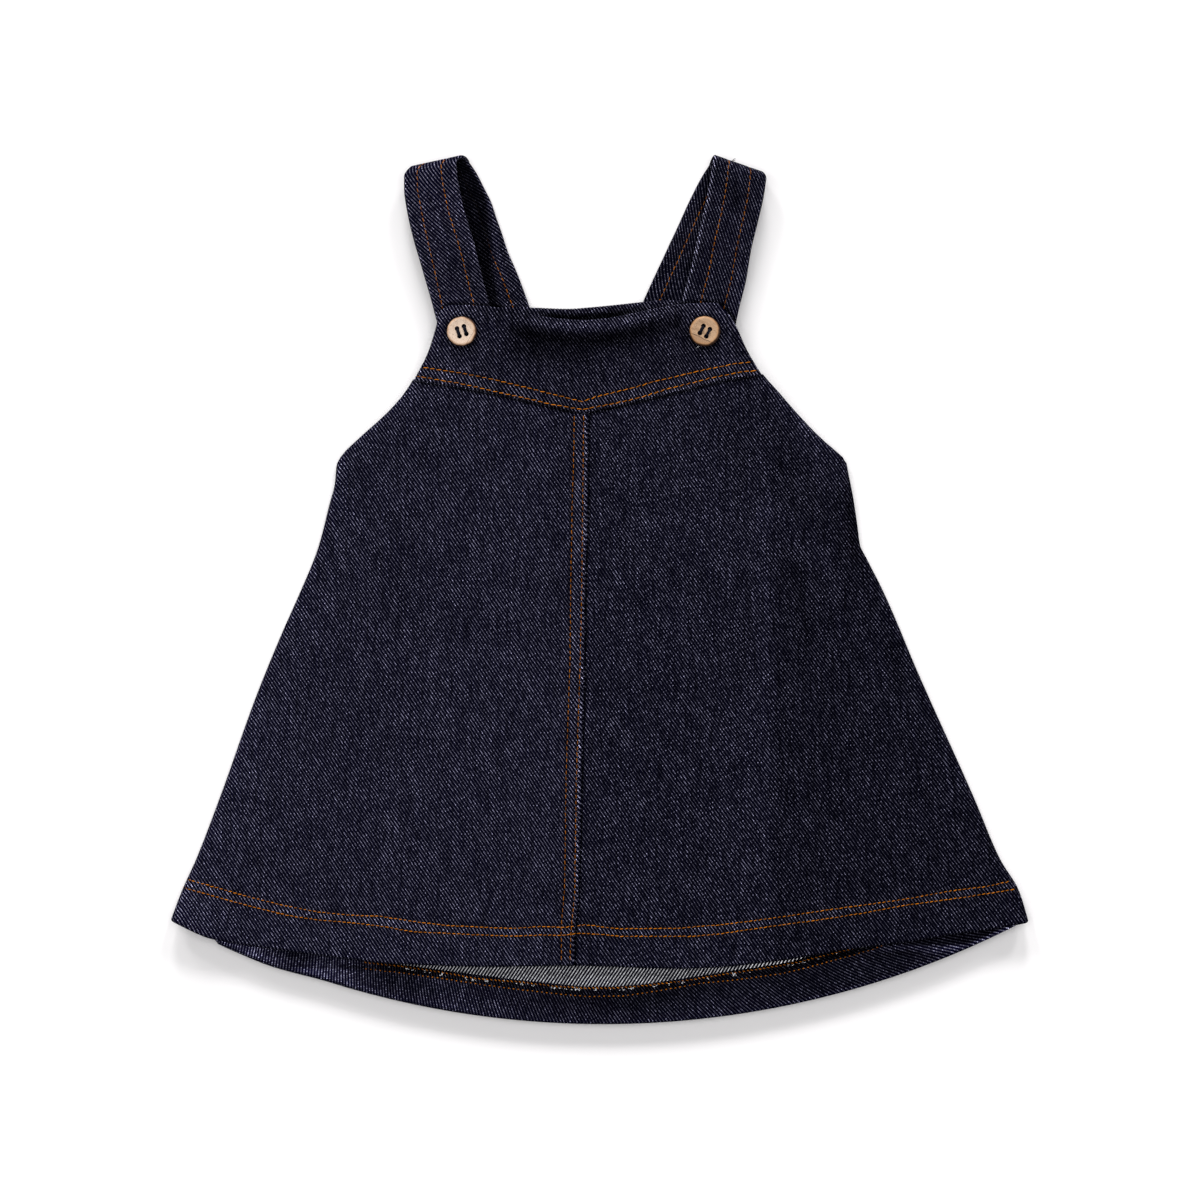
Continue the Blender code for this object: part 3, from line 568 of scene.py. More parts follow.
def make_object(name, verts, quads, uvs, attributes, materials, face_material=None):
    """A smooth mesh from arrays: a "weave" UV map per corner and float attributes per point."""
    mesh = bpy.data.meshes.new(name)
    mesh.vertices.add(len(verts))
    mesh.vertices.foreach_set("co", (np.asarray(verts) * MM).astype(np.float32).ravel())
    mesh.loops.add(quads.size)
    mesh.loops.foreach_set("vertex_index", quads.astype(np.int32).ravel())
    mesh.polygons.add(len(quads))
    mesh.polygons.foreach_set("loop_start", np.arange(0, quads.size, 4, dtype=np.int32))
    layer = mesh.uv_layers.new(name="weave")
    layer.data.foreach_set("uv", uvs.astype(np.float32).ravel())
    for key, values in attributes.items():
        attribute = mesh.attributes.new(key, "FLOAT", "POINT")
        attribute.data.foreach_set("value", np.asarray(values, np.float32).ravel())
    for entry in materials:
        mesh.materials.append(entry)
    if face_material is not None:
        mesh.polygons.foreach_set("material_index", face_material.astype(np.int32))
    mesh.update(calc_edges=True)
    mesh.validate()
    mesh.shade_smooth()
    return link(bpy.data.objects.new(name, mesh))


def cloth(name, node, points, u, v, materials, ends, sides, wear_and_painted_highlight, colour_and_painted_shading):
    """A closed wall of denim round a mid-surface grid, rounded off at some of its ends and sides.

    The two materials are for its upper and its lower face.
    """
    rows, columns = points.shape[:2]
    half = np.minimum(edge_taper(rows, ends)[:, None], edge_taper(columns, sides)[None, :])
    offset = grid_normals(points) * half[..., None]
    verts = np.concatenate([(points + offset).reshape(-1, 3), (points - offset).reshape(-1, 3)])
    index = np.arange(rows * columns).reshape(rows, columns)
    upper = corners(index).reshape(-1, 4)
    lower = upper[:, ::-1] + rows * columns
    border = np.concatenate([index[:, 0], index[-1, 1:], index[-2::-1, -1], index[0, -2:0:-1]])
    after = np.roll(border, -1)
    rim = np.stack([after, border, border + rows * columns, after + rows * columns], -1)
    quads = np.concatenate([upper, lower, rim])
    flat = np.concatenate([np.stack([u, v], -1).reshape(-1, 2)] * 2)[quads.reshape(-1)]
    face_material = np.repeat([0, 1, 0], [len(upper), len(lower), len(rim)])
    # The first attribute lightens the cloth where it is worn and where a highlight is painted; the
    # second paints light and shade into its colour, and darkens the back band where its looper
    # thread lies.
    attributes = {"wear_and_painted_highlight": [wear_and_painted_highlight, wear_and_painted_highlight], "colour_and_painted_shading": [colour_and_painted_shading, colour_and_painted_shading]}
    return finish_cloth(make_object(name, verts, quads, flat, attributes, materials,
                                    face_material), node)


def finish_cloth(obj, node):
    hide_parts(node)
    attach(obj, "root")
    return obj


def cut_area(u, v):
    """Area of the flat cloth in square metres."""
    du = np.abs(np.diff(u, axis=1))
    dv = np.abs(np.diff(v, axis=0))
    return float((du[:-1] * dv[:, :-1]).sum()) * MM * MM


# ---------------------------------------------------------------- materials

class Signal:
    """A shader socket that Python's arithmetic can use: each operation adds a Math node."""

    def __init__(self, shader, socket):
        self.shader, self.socket = shader, socket

    def math(self, operation, *others):
        return self.shader.math(operation, self, *others)

    __add__ = partialmethod(math, "ADD")
    __sub__ = partialmethod(math, "SUBTRACT")
    __mul__ = partialmethod(math, "MULTIPLY")
    __truediv__ = partialmethod(math, "DIVIDE")
    __pow__ = partialmethod(math, "POWER")
    __mod__ = partialmethod(math, "FLOORED_MODULO")
    __abs__ = partialmethod(math, "ABSOLUTE")
    __floor__ = partialmethod(math, "FLOOR")
    times_plus = partialmethod(math, "MULTIPLY_ADD")

    def __rsub__(self, other):
        return self.shader.math("SUBTRACT", other, self)

    def scale(self, low, high, to_low=0.0, to_high=1.0):
        """This value from low..high to to_low..to_high, held at the ends."""
        inputs = dict(enumerate((self, low, high, to_low, to_high)))
        return self.shader.node("MapRange", inputs)[0]


class Shader:
    """A short way to write a node material."""

    def __init__(self, name, roughness, specular=0.5):
        self.material = bpy.data.materials.new(name)
        self.material.use_nodes = True
        self.tree = self.material.node_tree
        self.bsdf = self.tree.nodes["Principled BSDF"]
        self.bsdf.inputs["Roughness"].default_value = roughness
        self.bsdf.inputs["Specular IOR Level"].default_value = specular

    def node(self, kind, inputs=(), **settings):
        """The outputs of a new node."""
        made = self.tree.nodes.new("ShaderNode" + kind)
        for key, value in settings.items():
            setattr(made, key, value)
        for key, value in dict(inputs).items():
            self.put(made.inputs[key], value)
        return [Signal(self, socket) for socket in made.outputs]

    def put(self, socket, value):
        if isinstance(value, Signal):
            self.tree.links.new(value.socket, socket)
        else:
            socket.default_value = (*value, 1.0) if socket.type == "RGBA" else value

    def math(self, operation, *values):
        return self.node("Math", dict(enumerate(values)), operation=operation)[0]

    def noise(self, x, y, z, detail):
        place = self.node("CombineXYZ", {0: x, 1: y, 2: z})[0]
        return self.node("TexNoise", {"Vector": place, "Scale": 1.0, "Detail": detail})[0]

    def speck(self, x, y, z):
        return self.node("TexWhiteNoise", {0: self.node("CombineXYZ", {0: x, 1: y, 2: z})[0]})[0]

    def mix(self, share, first, second):
        return self.node("Mix", {0: share, 6: first, 7: second}, data_type="RGBA")[2]

    def tinted(self, colour, amount):
        return self.node("VectorMath", {0: colour, 3: amount}, operation="SCALE")[0]

    def attribute(self, name):
        return self.node("Attribute", attribute_name=name)[2]

    def flat(self):
        return self.node("SeparateXYZ", {0: self.node("UVMap", uv_map="weave")[0]})[:2]

    def bump(self, height, distance, strength):
        inputs = {"Height": height, "Distance": distance, "Strength": strength}
        self.put(self.bsdf.inputs["Normal"], self.node("Bump", inputs)[0])

    def colour(self, value):
        self.put(self.bsdf.inputs["Base Color"], value)


def weave(shader, u, v, seed):
    """The 3/1 twill's cells: place in a cell, its warp and weft numbers, and where weft shows."""
    drift = shader.noise(u * 0.05, v * 0.012, seed, 2.0)
    sway = shader.noise(u * 0.012, v * 0.06, seed + 7.0, 2.0)
    a = (drift - 0.5).times_plus(3.0, u * (1 / WARP_PITCH))
    b = (sway - 0.5).times_plus(2.4, v * (1 / WEFT_PITCH))
    warp, weft = math.floor(a), math.floor(b)
    crossing = ((warp + weft) % 4.0).math("LESS_THAN", 0.5)
    return a - warp - 0.5, b - weft - 0.5, warp, weft, crossing


def yarns(shader, u, v, warp, weft, seed):
    """How thick each warp and weft yarn is along its length, and a random tone for each cell."""
    slub = shader.noise(warp * 3.17, v * 0.07, seed, 1.0)
    pick = shader.noise(u * 0.09, weft * 2.31, seed + 3.0, 1.0)
    return slub, pick, shader.speck(warp, weft, seed)


def denim_face(name, seed, tint=(1.0, 1.0, 1.0), vary=1.0):
    """The dark right side: indigo warp with the white weft showing as dots in diagonal lines."""
    shader = Shader(name, 0.95, 0.0)
    u, v = shader.flat()
    in_warp, in_weft, warp, weft, crossing = weave(shader, u, v, seed)
    wear_and_painted_highlight, colour_and_painted_shading = shader.attribute("wear_and_painted_highlight"), shader.attribute("colour_and_painted_shading")
    slub, pick, fleck = yarns(shader, u, v, warp, weft, seed)
    streak = shader.noise(u * 0.42, v * 0.035, seed + 5.0, 2.0)
    blot = shader.noise(u * 0.09, v * 0.07, seed + 9.0, 3.0)
    dot = (in_warp / 0.50) ** 2.0 + (in_weft / 0.52) ** 2.0
    dot = dot.scale(1.0, 0.2) * crossing
    light = slub.scale(0.32, 0.68, 0.45, 1.6) * pick.scale(0.3, 0.7, 0.75, 1.25)
    light = light * (fleck**2.0).times_plus(1.7, 0.42)
    light = light**vary * streak.scale(0.35, 0.65, 0.82, 1.18)
    # The mesh's attributes lighten the weft dots where the cloth is worn and where a highlight is
    # painted, and paint light and shade into the dots and the indigo.
    light = light * blot.scale(0.35, 0.65, 0.88, 1.12) * wear_and_painted_highlight.times_plus(1.6, 1.0) * colour_and_painted_shading
    # Each warp yarn's indigo is painted lighter along its crown, as a highlight.
    body = abs(in_warp).scale(0.5, 0.05).times_plus(0.8, 0.35)
    body = body * slub.scale(0.3, 0.7, 0.6, 1.4) * colour_and_painted_shading
    dark = shader.tinted([c * t for c, t in zip(INDIGO, tint)], body)
    pale = shader.tinted([c * t for c, t in zip(WEFT_DOT, tint)], light)
    shader.colour(shader.mix(dot, dark, pale))
    dip = crossing * abs(in_weft).scale(0.5, 0.0)
    shader.bump((0.25 - in_warp * in_warp) * 2.0 - dip * 0.5, 0.00012, 0.5)
    return shader.material


def denim_wrong(name, seed):
    """The light wrong side: white weft floats with the warp showing as dark dots."""
    shader = Shader(name, 0.95, 0.0)
    u, v = shader.flat()
    in_warp, in_weft, warp, weft, _ = weave(shader, u, v, seed)
    slub, pick, fleck = yarns(shader, u, v, warp, weft, seed)
    across = abs(((warp + weft) + (in_warp + in_weft) + 2.0) % 4.0 - 2.0)
    light = pick.scale(0.3, 0.7, 0.8, 1.2) * slub.scale(0.3, 0.7, 0.8, 1.2)
    light = light * fleck.times_plus(0.9, 0.5)
    # Each weft float is painted lighter along its crown, as a highlight, and the mesh's attribute
    # paints light and shade into it.
    light = light * abs(in_weft).scale(0.5, 0.15, 0.45, 1.15) * shader.attribute("colour_and_painted_shading")
    pale = shader.tinted(WEFT_FLOAT, light)
    shader.colour(shader.mix(across.scale(1.72, 1.2), pale, (0.004, 0.004, 0.009)))
    shader.bump((0.25 - in_weft * in_weft) * 2.0, 0.00012, 0.5)
    return shader.material


def thread_material(name, base, dark):
    """Sewing thread: a tone for each stitch, painted darker below zero as shadow, and a fine twist
    along it with painted light and shade.
    """
    shader = Shader(name, 0.6, 0.06)
    u, v = shader.flat()
    tone = shader.attribute("tone")
    ply = (u * THREAD_TWIST + v * (2 * math.pi)).math("SINE")
    share = tone * ply.scale(-1.0, 1.0, 0.65, 1.1)
    shader.colour(shader.tinted(shader.mix(share, dark, base), tone.scale(-1.0, 0.0, 0.02, 1.0)))
    shader.bump(ply, 0.00005, 0.6)
    return shader.material


def wood_material(name, pale, grain, burn, seed, tilt, turn, clean, crack):
    """A slice of wood, seen upright: grain lines, a crack and a rim singed more on one side.

    `clean` is the middle of the unsinged part, and `crack` a point on the crack, its slope and how
    strong it is.
    """
    shader = Shader(name, 0.5, 0.25)
    place = shader.node("TexCoord")[3]

    def turned(degrees):
        inputs = {"Vector": place, "Rotation": (0, 0, math.radians(degrees)),
                  "Scale": (1 / MM, 1 / MM, 1 / MM)}
        return shader.node("SeparateXYZ", {0: shader.node("Mapping", inputs)[0]})[:2]

    x, y = turned(turn + tilt)
    upright_x, upright_y = turned(turn)
    bend = shader.noise(x * 0.25, y * 0.25, seed, 2.0)
    line = (bend - 0.5).times_plus(3.0, y)
    fine = shader.noise(x * 0.35, line * 4.5, seed, 3.0)
    broad = shader.noise(x * 0.1, line * 0.7, seed + 4.0, 2.0)
    share = fine.scale(0.42, 0.72, 0.0, 0.45) + broad.scale(0.5, 0.75, 0.0, 0.6)
    colour = shader.mix(share, pale, grain)
    pore = shader.speck(math.floor(x * 2.2), math.floor(line * 7.0), seed)
    colour = shader.mix(pore.math("GREATER_THAN", 0.93) * 0.45, colour, burn)
    crack_x, crack_y, slope, strength = crack
    c, s = math.cos(math.radians(slope)), math.sin(math.radians(slope))
    past = (upright_y - crack_y) * c + (upright_x - crack_x) * -s
    past = (bend - 0.5).times_plus(1.2, past)
    inward = -1 if crack_y * c - crack_x * s < 0 else 1
    beyond = (past * inward).scale(-0.3, 0.6, 0.0, 0.9 * strength)
    colour = shader.mix(beyond, colour, grain)
    colour = shader.mix(abs(past).scale(0.34, 0.08, 0.0, strength), colour, burn)
    uneven = shader.noise(x * 0.3, y * 0.3, seed + 8.0, 2.0)
    aside_x, aside_y = upright_x - clean[0], upright_y - clean[1]
    rim = (aside_x * aside_x + aside_y * aside_y).math("SQRT") + (uneven - 0.5) * 1.3
    colour = shader.mix(rim.scale(5.9, 6.9, 0.0, 0.55), colour, SINGED)
    shader.colour(shader.mix(rim.scale(6.75, 7.3), colour, burn))
    shader.bump(fine, 0.0001, 0.5)
    return shader.material


def plain_material(name, colour, roughness, grain=0.0):
    shader = Shader(name, roughness)
    shader.colour(colour)
    if grain:
        inputs = {"Vector": shader.node("TexCoord")[3], "Scale": grain, "Detail": 3.0}
        shader.bump(shader.node("TexNoise", inputs)[0], 0.0001, 0.2)
    return shader.material


# The left panel's and left strap's denim is painted lighter, and the right panel's and right
# strap's darker: lit and shaded copies of one denim, as the light falls from the left.
FACES = {
    "left": denim_face("denim_face_left_painted_lighter", 1.0, tint=(1.08, 1.08, 1.07)),
    "right": denim_face("denim_face_right_painted_darker", 21.0, tint=(0.89, 0.89, 0.885), vary=1.2),
    "yoke": denim_face("denim_face_yoke", 41.0, tint=(0.86, 0.85, 0.83)),
    "back": denim_face("denim_face_back", 61.0),
    "strap_left": denim_face("denim_face_strap_left_painted_lighter", 81.0, tint=(1.24, 1.22, 1.2)),
    "strap_right": denim_face("denim_face_strap_right_painted_darker", 91.0, tint=(0.8, 0.8, 0.78)),
}
WRONG = denim_wrong("denim_wrong_side", 61.0)
RUST = thread_material("thread_rust", (0.60, 0.18, 0.003), (0.07, 0.02, 0.001))
INK = thread_material("thread_ink", (0.008, 0.008, 0.016), (0.001, 0.001, 0.003))
LINT = plain_material("lint", (0.75, 0.75, 0.78), 0.9)
WOODS = {
    "button_left": wood_material(
        "wood_pale", (0.66, 0.51, 0.40), (0.53, 0.37, 0.265), (0.045, 0.016, 0.007),
        2.0, 60.0, BUTTONS["button_left"][2], (-0.3, 0.0), (5.2, -1.4, 60.0, 0.3)),
    "button_right": wood_material(
        "wood_tan", (0.47, 0.30, 0.18), (0.27, 0.15, 0.08), (0.045, 0.018, 0.008),
        12.0, 25.0, BUTTONS["button_right"][2], (-0.3, 0.35), (-2.2, -3.1, -25.0, 0.8)),
}


# ---------------------------------------------------------------- the front

def spread_rows(length, first, last, middle):
    """Distances down a panel: fine at its top and bottom, `middle` apart between."""
    top = np.array([d for d in first if d < length / 2])
    bottom = length - np.array([d for d in last if d < length / 2])[::-1]
    count = max(2, round((bottom[0] - top[-1]) / middle))
    return np.concatenate([top, np.linspace(top[-1], bottom[0], count + 1)[1:-1], bottom])


def panel_points(side):
    left_half = side == "left"
    sign = -1 if left_half else 1
    yoke_end, hem_end = PANEL_CORNERS[side]
    seam_top, seam_bottom = V_POINT[1], CENTRE_FOOT + FOLD_REACH
    down = spread_rows(seam_top - seam_bottom, (0, 0.3, 0.6, 1.0, 1.5, 2.1, 3.0, 4.2, 6.0, 8.0),
                       (*HEM_STEPS, 21.5, 23.5), 2.4)
    seam_y = seam_top - down
    edge_y = np.interp(-seam_y, (-seam_top, -SEAM_UNDERARM_Y, -seam_bottom),
                       (yoke_end, UNDERARM_Y, hem_end + FOLD_REACH))
    outer = np.stack([smooth(EDGES[side], edge_y) - sign * edge_inset(edge_y), edge_y], axis=1)
    seam = np.stack([smooth(CENTRE_SEAM, seam_y) + SEAM_LAP * left_half, seam_y], axis=1)
    near_edge = np.array([0, 0.1, 0.3, 0.6, 1.0, 1.5, 2.1, 2.7, EDGE_ROLL, 4.2, 6.0])
    if left_half:
        near_seam = np.array([0, 0.25, 0.5, 0.8, 1.2, 1.7, 2.3, 3.0, 3.7, 4.4, 5.0, 5.6, 6.2, 6.8,
                              7.4, 8.2, 9.5, 11.5])[::-1]
        start, end, first, last = outer, seam, near_edge, near_seam
    else:
        near_seam = np.array([0, 0.25, 0.5, 0.8, 1.2, 1.8, 2.6, 3.8, 5.5, 8.0])
        start, end, first, last = seam, outer, near_seam, near_edge[::-1]
    columns = []
    for width in end[:, 0] - start[:, 0]:
        middle = np.linspace(first[-1], width - last[0], 74)[1:-1]
        columns.append(np.concatenate([first, middle, width - last]))
    x, y = patch(start, end, yoke_seam,
                 lambda x: smooth(FRONT_HEM, x) + FOLD_REACH, np.array(columns))
    return np.stack([x, y, front_height(x, y)], axis=-1)


def front_wear_and_painted_highlight(x, y):
    """How much lighter the front's cloth is drawn: worn along its seams, most on their folded
    edges, which are also painted as catching the light, and a painted highlight on the neck's
    rolled crest.
    """
    from_centre, above_yoke = from_seams(x, y)
    below = above_yoke < 0
    centre = 0.36 * fade(from_centre, 0, 0.4) * (1 - fade(from_centre, 5.8, 6.6))
    centre = centre * (1 - 0.8 * fade(-y, 168.0, 174.0)) + 1.7 * bell(from_centre, 1.15, 0.5)
    yoke = 0.42 * (1 - fade(above_yoke, 5.6, 7.0)) + 0.55 * bell(above_yoke, 0.6, 0.7)
    upper, lower = (row_distance(row, x, y) for row in FRONT_HEM_ROWS)
    hem = 0.5 * fade(-upper, -0.4, 0.5) * fade(lower, -0.4, 0.5)
    # A painted highlight on the neck's rolled crest and a thin one along its top edge.
    under_neck = below_neck(x, y)
    neck = 0.45 * bell(under_neck, 3.0, 2.2) + 0.5 * bell(under_neck, 0.4, 0.5)
    underarm = 0.9 * bell(x, -130.0, 1.6) * bell(y, 59.5, 3.0)
    return below * centre + (~below) * yoke + hem + neck + underarm


def front_painted_shading(x, y):
    """Painted light and shading on the front's cloth: dark in the ditches, round the buttons and
    below the neck's roll, and lighter and darker across the panels as the light falls.
    """
    from_centre, above_yoke = from_seams(x, y)
    skirt, bib = above_yoke < 0, above_yoke >= 0
    # Painted shade in the ditches beside the centre and yoke seams, and in a ring round each
    # button.
    ditch = bell(from_centre, -0.6, 0.6) * skirt + bell(above_yoke, -0.8, 0.7)
    for bx, by, _ in BUTTONS.values():
        ditch = ditch + 0.8 * bell(np.hypot(x - bx, y - by + 0.2), 8.3, 0.85)
    # Painted shade in the trough below the neck's rolled edge, and in a thin line just below its
    # crest.
    below = below_neck(x, y)
    inside = (0.8 * fade(x, -54.0, -42.0) + 0.2 * fade(x, -42.0, -32.0)) * fade(-x, -40.0, -14.0)
    trough = 0.5 * bell(below, 9.4, 3.2) + 0.25 * bell(below, 15.0, 7.0)
    trough = trough + 0.5 * bell(below, 1.35, 0.4)
    # Painted light and shade as the light falls: darker at the skirt's right, lighter along its
    # left edge and lower down, lighter at the bib's ends than its middle, and painted light and
    # shade along lines.
    away = 1 - 0.34 * fade(x, 76.0, 92.0) * skirt
    away = away + (0.1 + 0.15 * fade(-y, 30.0, 60.0)) * skirt * (
        1 - fade(x - smooth(LEFT_EDGE, y), 4.0, 26.0))
    away = away - bib * (0.6 * fade(x, -74.0, -50.0) - 0.48 - 0.35 * fade(x, 38.0, 56.0))
    away = away * (1 + 0.04 * fade(-y, 40.0, 110.0)) * painted_shading_along_lines(x, y)
    # Painted shade in the ditches along the rows of stitches.
    rows = [bell(row_distance(row, x, y), 0, 0.85) for row in FRONT_HEM_ROWS + YOKE_ROWS]
    rows += [bell(beside_row(row, x, y), 0, 0.8) * skirt for row in CENTRE_ROWS]
    away = away * (1 - 0.6 * np.clip(sum(rows), 0, 1))
    return (1 - 0.75 * np.clip(ditch, 0, 1)) * (1 - inside * trough) * away


def flared(u, v):
    """Flat coordinates whose grain turns away from the centre seam, as on a flared panel."""
    x, y = u - u[:, :1], v - GRAIN_FLARE_Y
    return u + GRAIN_TURN * x * y, v - GRAIN_TURN * (x * x - y * y) / 2


def front_panel(side):
    points = panel_points(side)
    x, y = points[..., 0], points[..., 1]
    full = turned_edge(points, -1, len(HEM_STEPS) - 1)
    turned = np.zeros((len(full) - len(points), x.shape[1]))
    wear_and_painted_highlight = np.concatenate([front_wear_and_painted_highlight(x, y), turned])
    colour_and_painted_shading = front_painted_shading(x, y)
    colour_and_painted_shading = np.concatenate([colour_and_painted_shading, colour_and_painted_shading[-1] + turned])
    left_half = side == "left"
    u, v = flat_cloth(full, -1 if left_half else 0, V_POINT[1])
    woven = (u, v) if left_half else flared(u, v)
    piece = cloth(f"cloth_front_{side}", f"front_{side}_panel", full, *woven,
                  (FACES[side], WRONG), (False, True), (left_half, True), wear_and_painted_highlight, colour_and_painted_shading)
    return piece, cut_area(u, v)


def yoke():
    down = spread_rows(1.0, (0, 0.006, 0.014, 0.025, 0.04),
                       (0, 0.006, 0.012, 0.02, 0.03, 0.045, 0.065, 0.09), 0.02)
    ends = []
    for side, (top, foot) in YOKE_SIDES.items():
        y = top + (foot - top) * down
        ends.append(np.stack([smooth(EDGES[side], y), y], axis=1))
    left, right = ends
    widths = right[:, 0] - left[:, 0]
    point_share = (V_POINT[0] - left[-1, 0]) / widths[-1]
    near = np.array([0, 0.15, 0.4, 0.8, 1.4, 2.2, EDGE_ROLL])
    to_point = 52
    columns = [
        np.concatenate([
            near,
            np.linspace(EDGE_ROLL, width * point_share, to_point)[1:],
            np.linspace(width * point_share, width - EDGE_ROLL, to_point)[1:],
            width - near[-2::-1],
        ])
        for width in widths
    ]
    x, y = patch(left, right, lambda x: smooth(BIB_TOP, x), lambda x: yoke_seam(x) - SEAM_LAP,
                 np.array(columns))
    points = np.stack([x, y, front_height(x, y)], axis=-1)
    u, v = flat_cloth(points, len(near) + to_point - 1, FLAT_TOP)
    piece = cloth("cloth_yoke", "front_yoke", points, u, v, (FACES["yoke"], WRONG),
                  (True, True), (True, True), front_wear_and_painted_highlight(x, y), front_painted_shading(x, y))
    return piece, cut_area(u, v)


# ---------------------------------------------------------------- the back

def back_inset(y):
    return 1.5 + 2.6 * fade(-y, 125.0, 145.0)


def back_side(side, levels):
    armhole = BACK_ARMHOLES[side]
    y = np.interp(levels, (0, 0.25, 1), (armhole[0][0], UNDERARM_Y, BACK_CORNER_Y[side]))
    inset = back_inset(y) if side == "right" else -back_inset(y)
    below = smooth(EDGES[side], y) - inset
    return np.stack([np.where(y >= UNDERARM_Y, smooth(armhole, y), below), y], axis=1)


def back_colour_and_painted_shading(x, y, band):
    """How light the back's inside is drawn: dark where the looper thread lies, with painted light
    and shading round the fronts' hem and its cast shadow.
    """
    above_row = row_distance(BACK_HEM_ROWS[1], x, y)
    between = fade(above_row, -0.6, 0.5)
    middle = bell(x, 20.0, 95.0)
    below_row = fade(above_row, -14.0, -2.0)
    below_front = -row_distance(FRONT_HEM, x, y)
    # The band is dark above its lower row, where the looper thread lies, and has painted shade over
    # its middle below that row.
    colour_and_painted_shading = 1 - band * (0.8 * between + (1 - between) * middle * (0.38 + 0.35 * below_row))
    # Painted light on the band where the fronts' hem casts its shadow, and a painted highlight and
    # shade along the band's fold.
    shaded, reach, past = curves(BAND_PAINTED_LIGHT, x)
    lit = past + (shaded - past) * (1 - fade(below_front, reach - 1.5, reach + 1.5))
    at_left = fade(x, -165.0, -140.0) * (1 - fade(x, -75.0, -50.0))
    lit = lit + bell(y - back_hem(x), 0.0, 3.2) * (at_left - 0.35 * fade(x, 60.0, 100.0))
    # Painted light on the wrong side just below the fronts' hem.
    slit = 0.6 + 1.9 * fade(x, 58.0, 100.0)
    colour_and_painted_shading = colour_and_painted_shading * (1 + band * lit + slit * (1 - band) * bell(below_front, 0.0, 6.0))
    # Painted shade on the band towards the right and round x = -102.
    colour_and_painted_shading = colour_and_painted_shading * (1 - 0.42 * band * fade(x, 60.0, 105.0))
    return colour_and_painted_shading * (1 - 0.45 * band * bell(x, -102.0, 18.0))


def back():
    length = 300.0
    levels = spread_rows(length, (0, 0.4, 1.0, 2.0), (*HEM_STEPS, 22.0, 25.0, 29.0), 4.0) / length
    left, right = (back_side(side, levels) for side in EDGES)
    columns = np.array([np.linspace(0, w, 150) for w in right[:, 0] - left[:, 0]])
    x, y = patch(left, right, lambda x: smooth(BACK_TOP, x), lambda x: back_hem(x) + FOLD_REACH,
                 columns)
    points = np.stack([x, y, DENIM / 2 + hem_curl(x, y)], axis=-1)
    full = turned_edge(points, 1, 1)
    end = np.interp(full[-1, :, 0], *np.array(BACK_BAND_END).T)
    band_y = full[-1, :, 1] + (end - full[-1, :, 1]) * np.linspace(0, 1, 24)[1:, None]
    band_x = np.stack([np.interp(-band_y[:, k], -y[:, k], x[:, k]) for k in range(x.shape[1])], 1)
    full = np.concatenate([full, np.stack([band_x, band_y, band_height(band_x, band_y)], -1)])
    x, y = full[..., 0], full[..., 1]
    # The flat cloth: the turned-up band is unfolded across the hem's arc.
    centre = np.array([BACK_HEM_LOWEST[0], BACK_HEM_LOWEST[1] + BACK_HEM_RADIUS])
    away = full[..., :2] - centre
    reach = np.linalg.norm(away, axis=-1)
    number = np.arange(len(full))[:, None]
    radius = BACK_HEM_RADIUS + 0.9 * hem_drop(x)
    unfolded = centre + away / reach[..., None] * (2 * radius - reach)[..., None]
    folded = number[..., None] >= len(points) + FOLD_STEPS // 2
    u, v = np.moveaxis(np.where(folded, unfolded, full[..., :2]), -1, 0)
    colour_and_painted_shading = back_colour_and_painted_shading(x, y, number >= len(points) + FOLD_STEPS)
    piece = cloth("cloth_back", "back_panel", full, -u, v, (WRONG, FACES["back"]),
                  (True, True), (True, True), 0 * colour_and_painted_shading, colour_and_painted_shading)
    return piece, cut_area(u, v)


def on_strap(name, x, y):
    """1 over a strap's end, falling off beside it."""
    edge, end = STRAP_BACK[name][-2:]
    left, right = (np.interp(y, (end[1], edge[1]), (end[k], edge[k])) for k in (0, 2))
    outside = np.maximum(np.maximum(left - x, x - right), end[1] - y)
    return 1 - fade(outside, 1.0, 1.0 + FACING_RISE)


def facing():
    across = np.linspace(BACK_TOP_CORNER["left"] + FACING_INSET,
                         BACK_TOP_CORNER["right"] - FACING_INSET, 110)
    depth = np.concatenate([[0, 0.2, 0.5, 0.9, 1.4], np.linspace(2.0, FACING_DEPTH, 22)])
    x, below = np.meshgrid(across, depth)
    middle = (across[0] + across[-1]) / 2
    y = smooth(BACK_TOP, x) - FACING_INSET * 0.5 - below
    x = x + (x - middle) / (across[-1] - middle) * below / FACING_DEPTH * FACING_FLARE
    lift = np.maximum(on_strap("strap_left", x, y), on_strap("strap_right", x, y))
    points = np.stack([x, y, FACING_Z + FACING_LIFT * lift], axis=-1)
    u, v = flat_cloth(points, len(across) // 2, FLAT_TOP)
    # Painted shade on the facing just above the bib's crest, deepest in the middle.
    above_bib = (y - smooth(BIB_TOP, x)) / (smooth(BACK_TOP, x) - smooth(BIB_TOP, x))
    middle = fade(x, -38.0, -20.0) * fade(-x, -34.0, -6.0)
    colour_and_painted_shading = 0.95 - (0.15 + 0.72 * middle) * (1 - fade(above_bib, 0.35, 0.8))
    piece = cloth("cloth_facing", "back_facing", points, u, v, (FACES["yoke"], WRONG),
                  (True, True), (True, True), 0.25 + 0 * u, colour_and_painted_shading)
    return piece, cut_area(u, v)


# ---------------------------------------------------------------- straps

def strap_stations(rows):
    """A strap's rows again, a fixed distance apart along its middle."""
    rows = np.array(rows)
    distance = distances((rows[:, :2] + rows[:, 2:4]) / 2)
    at = np.linspace(0, distance[-1], round(distance[-1] / STRAP_STEP) + 1)
    return np.stack([smooth(list(zip(distance, column)), at) for column in rows.T], axis=1)


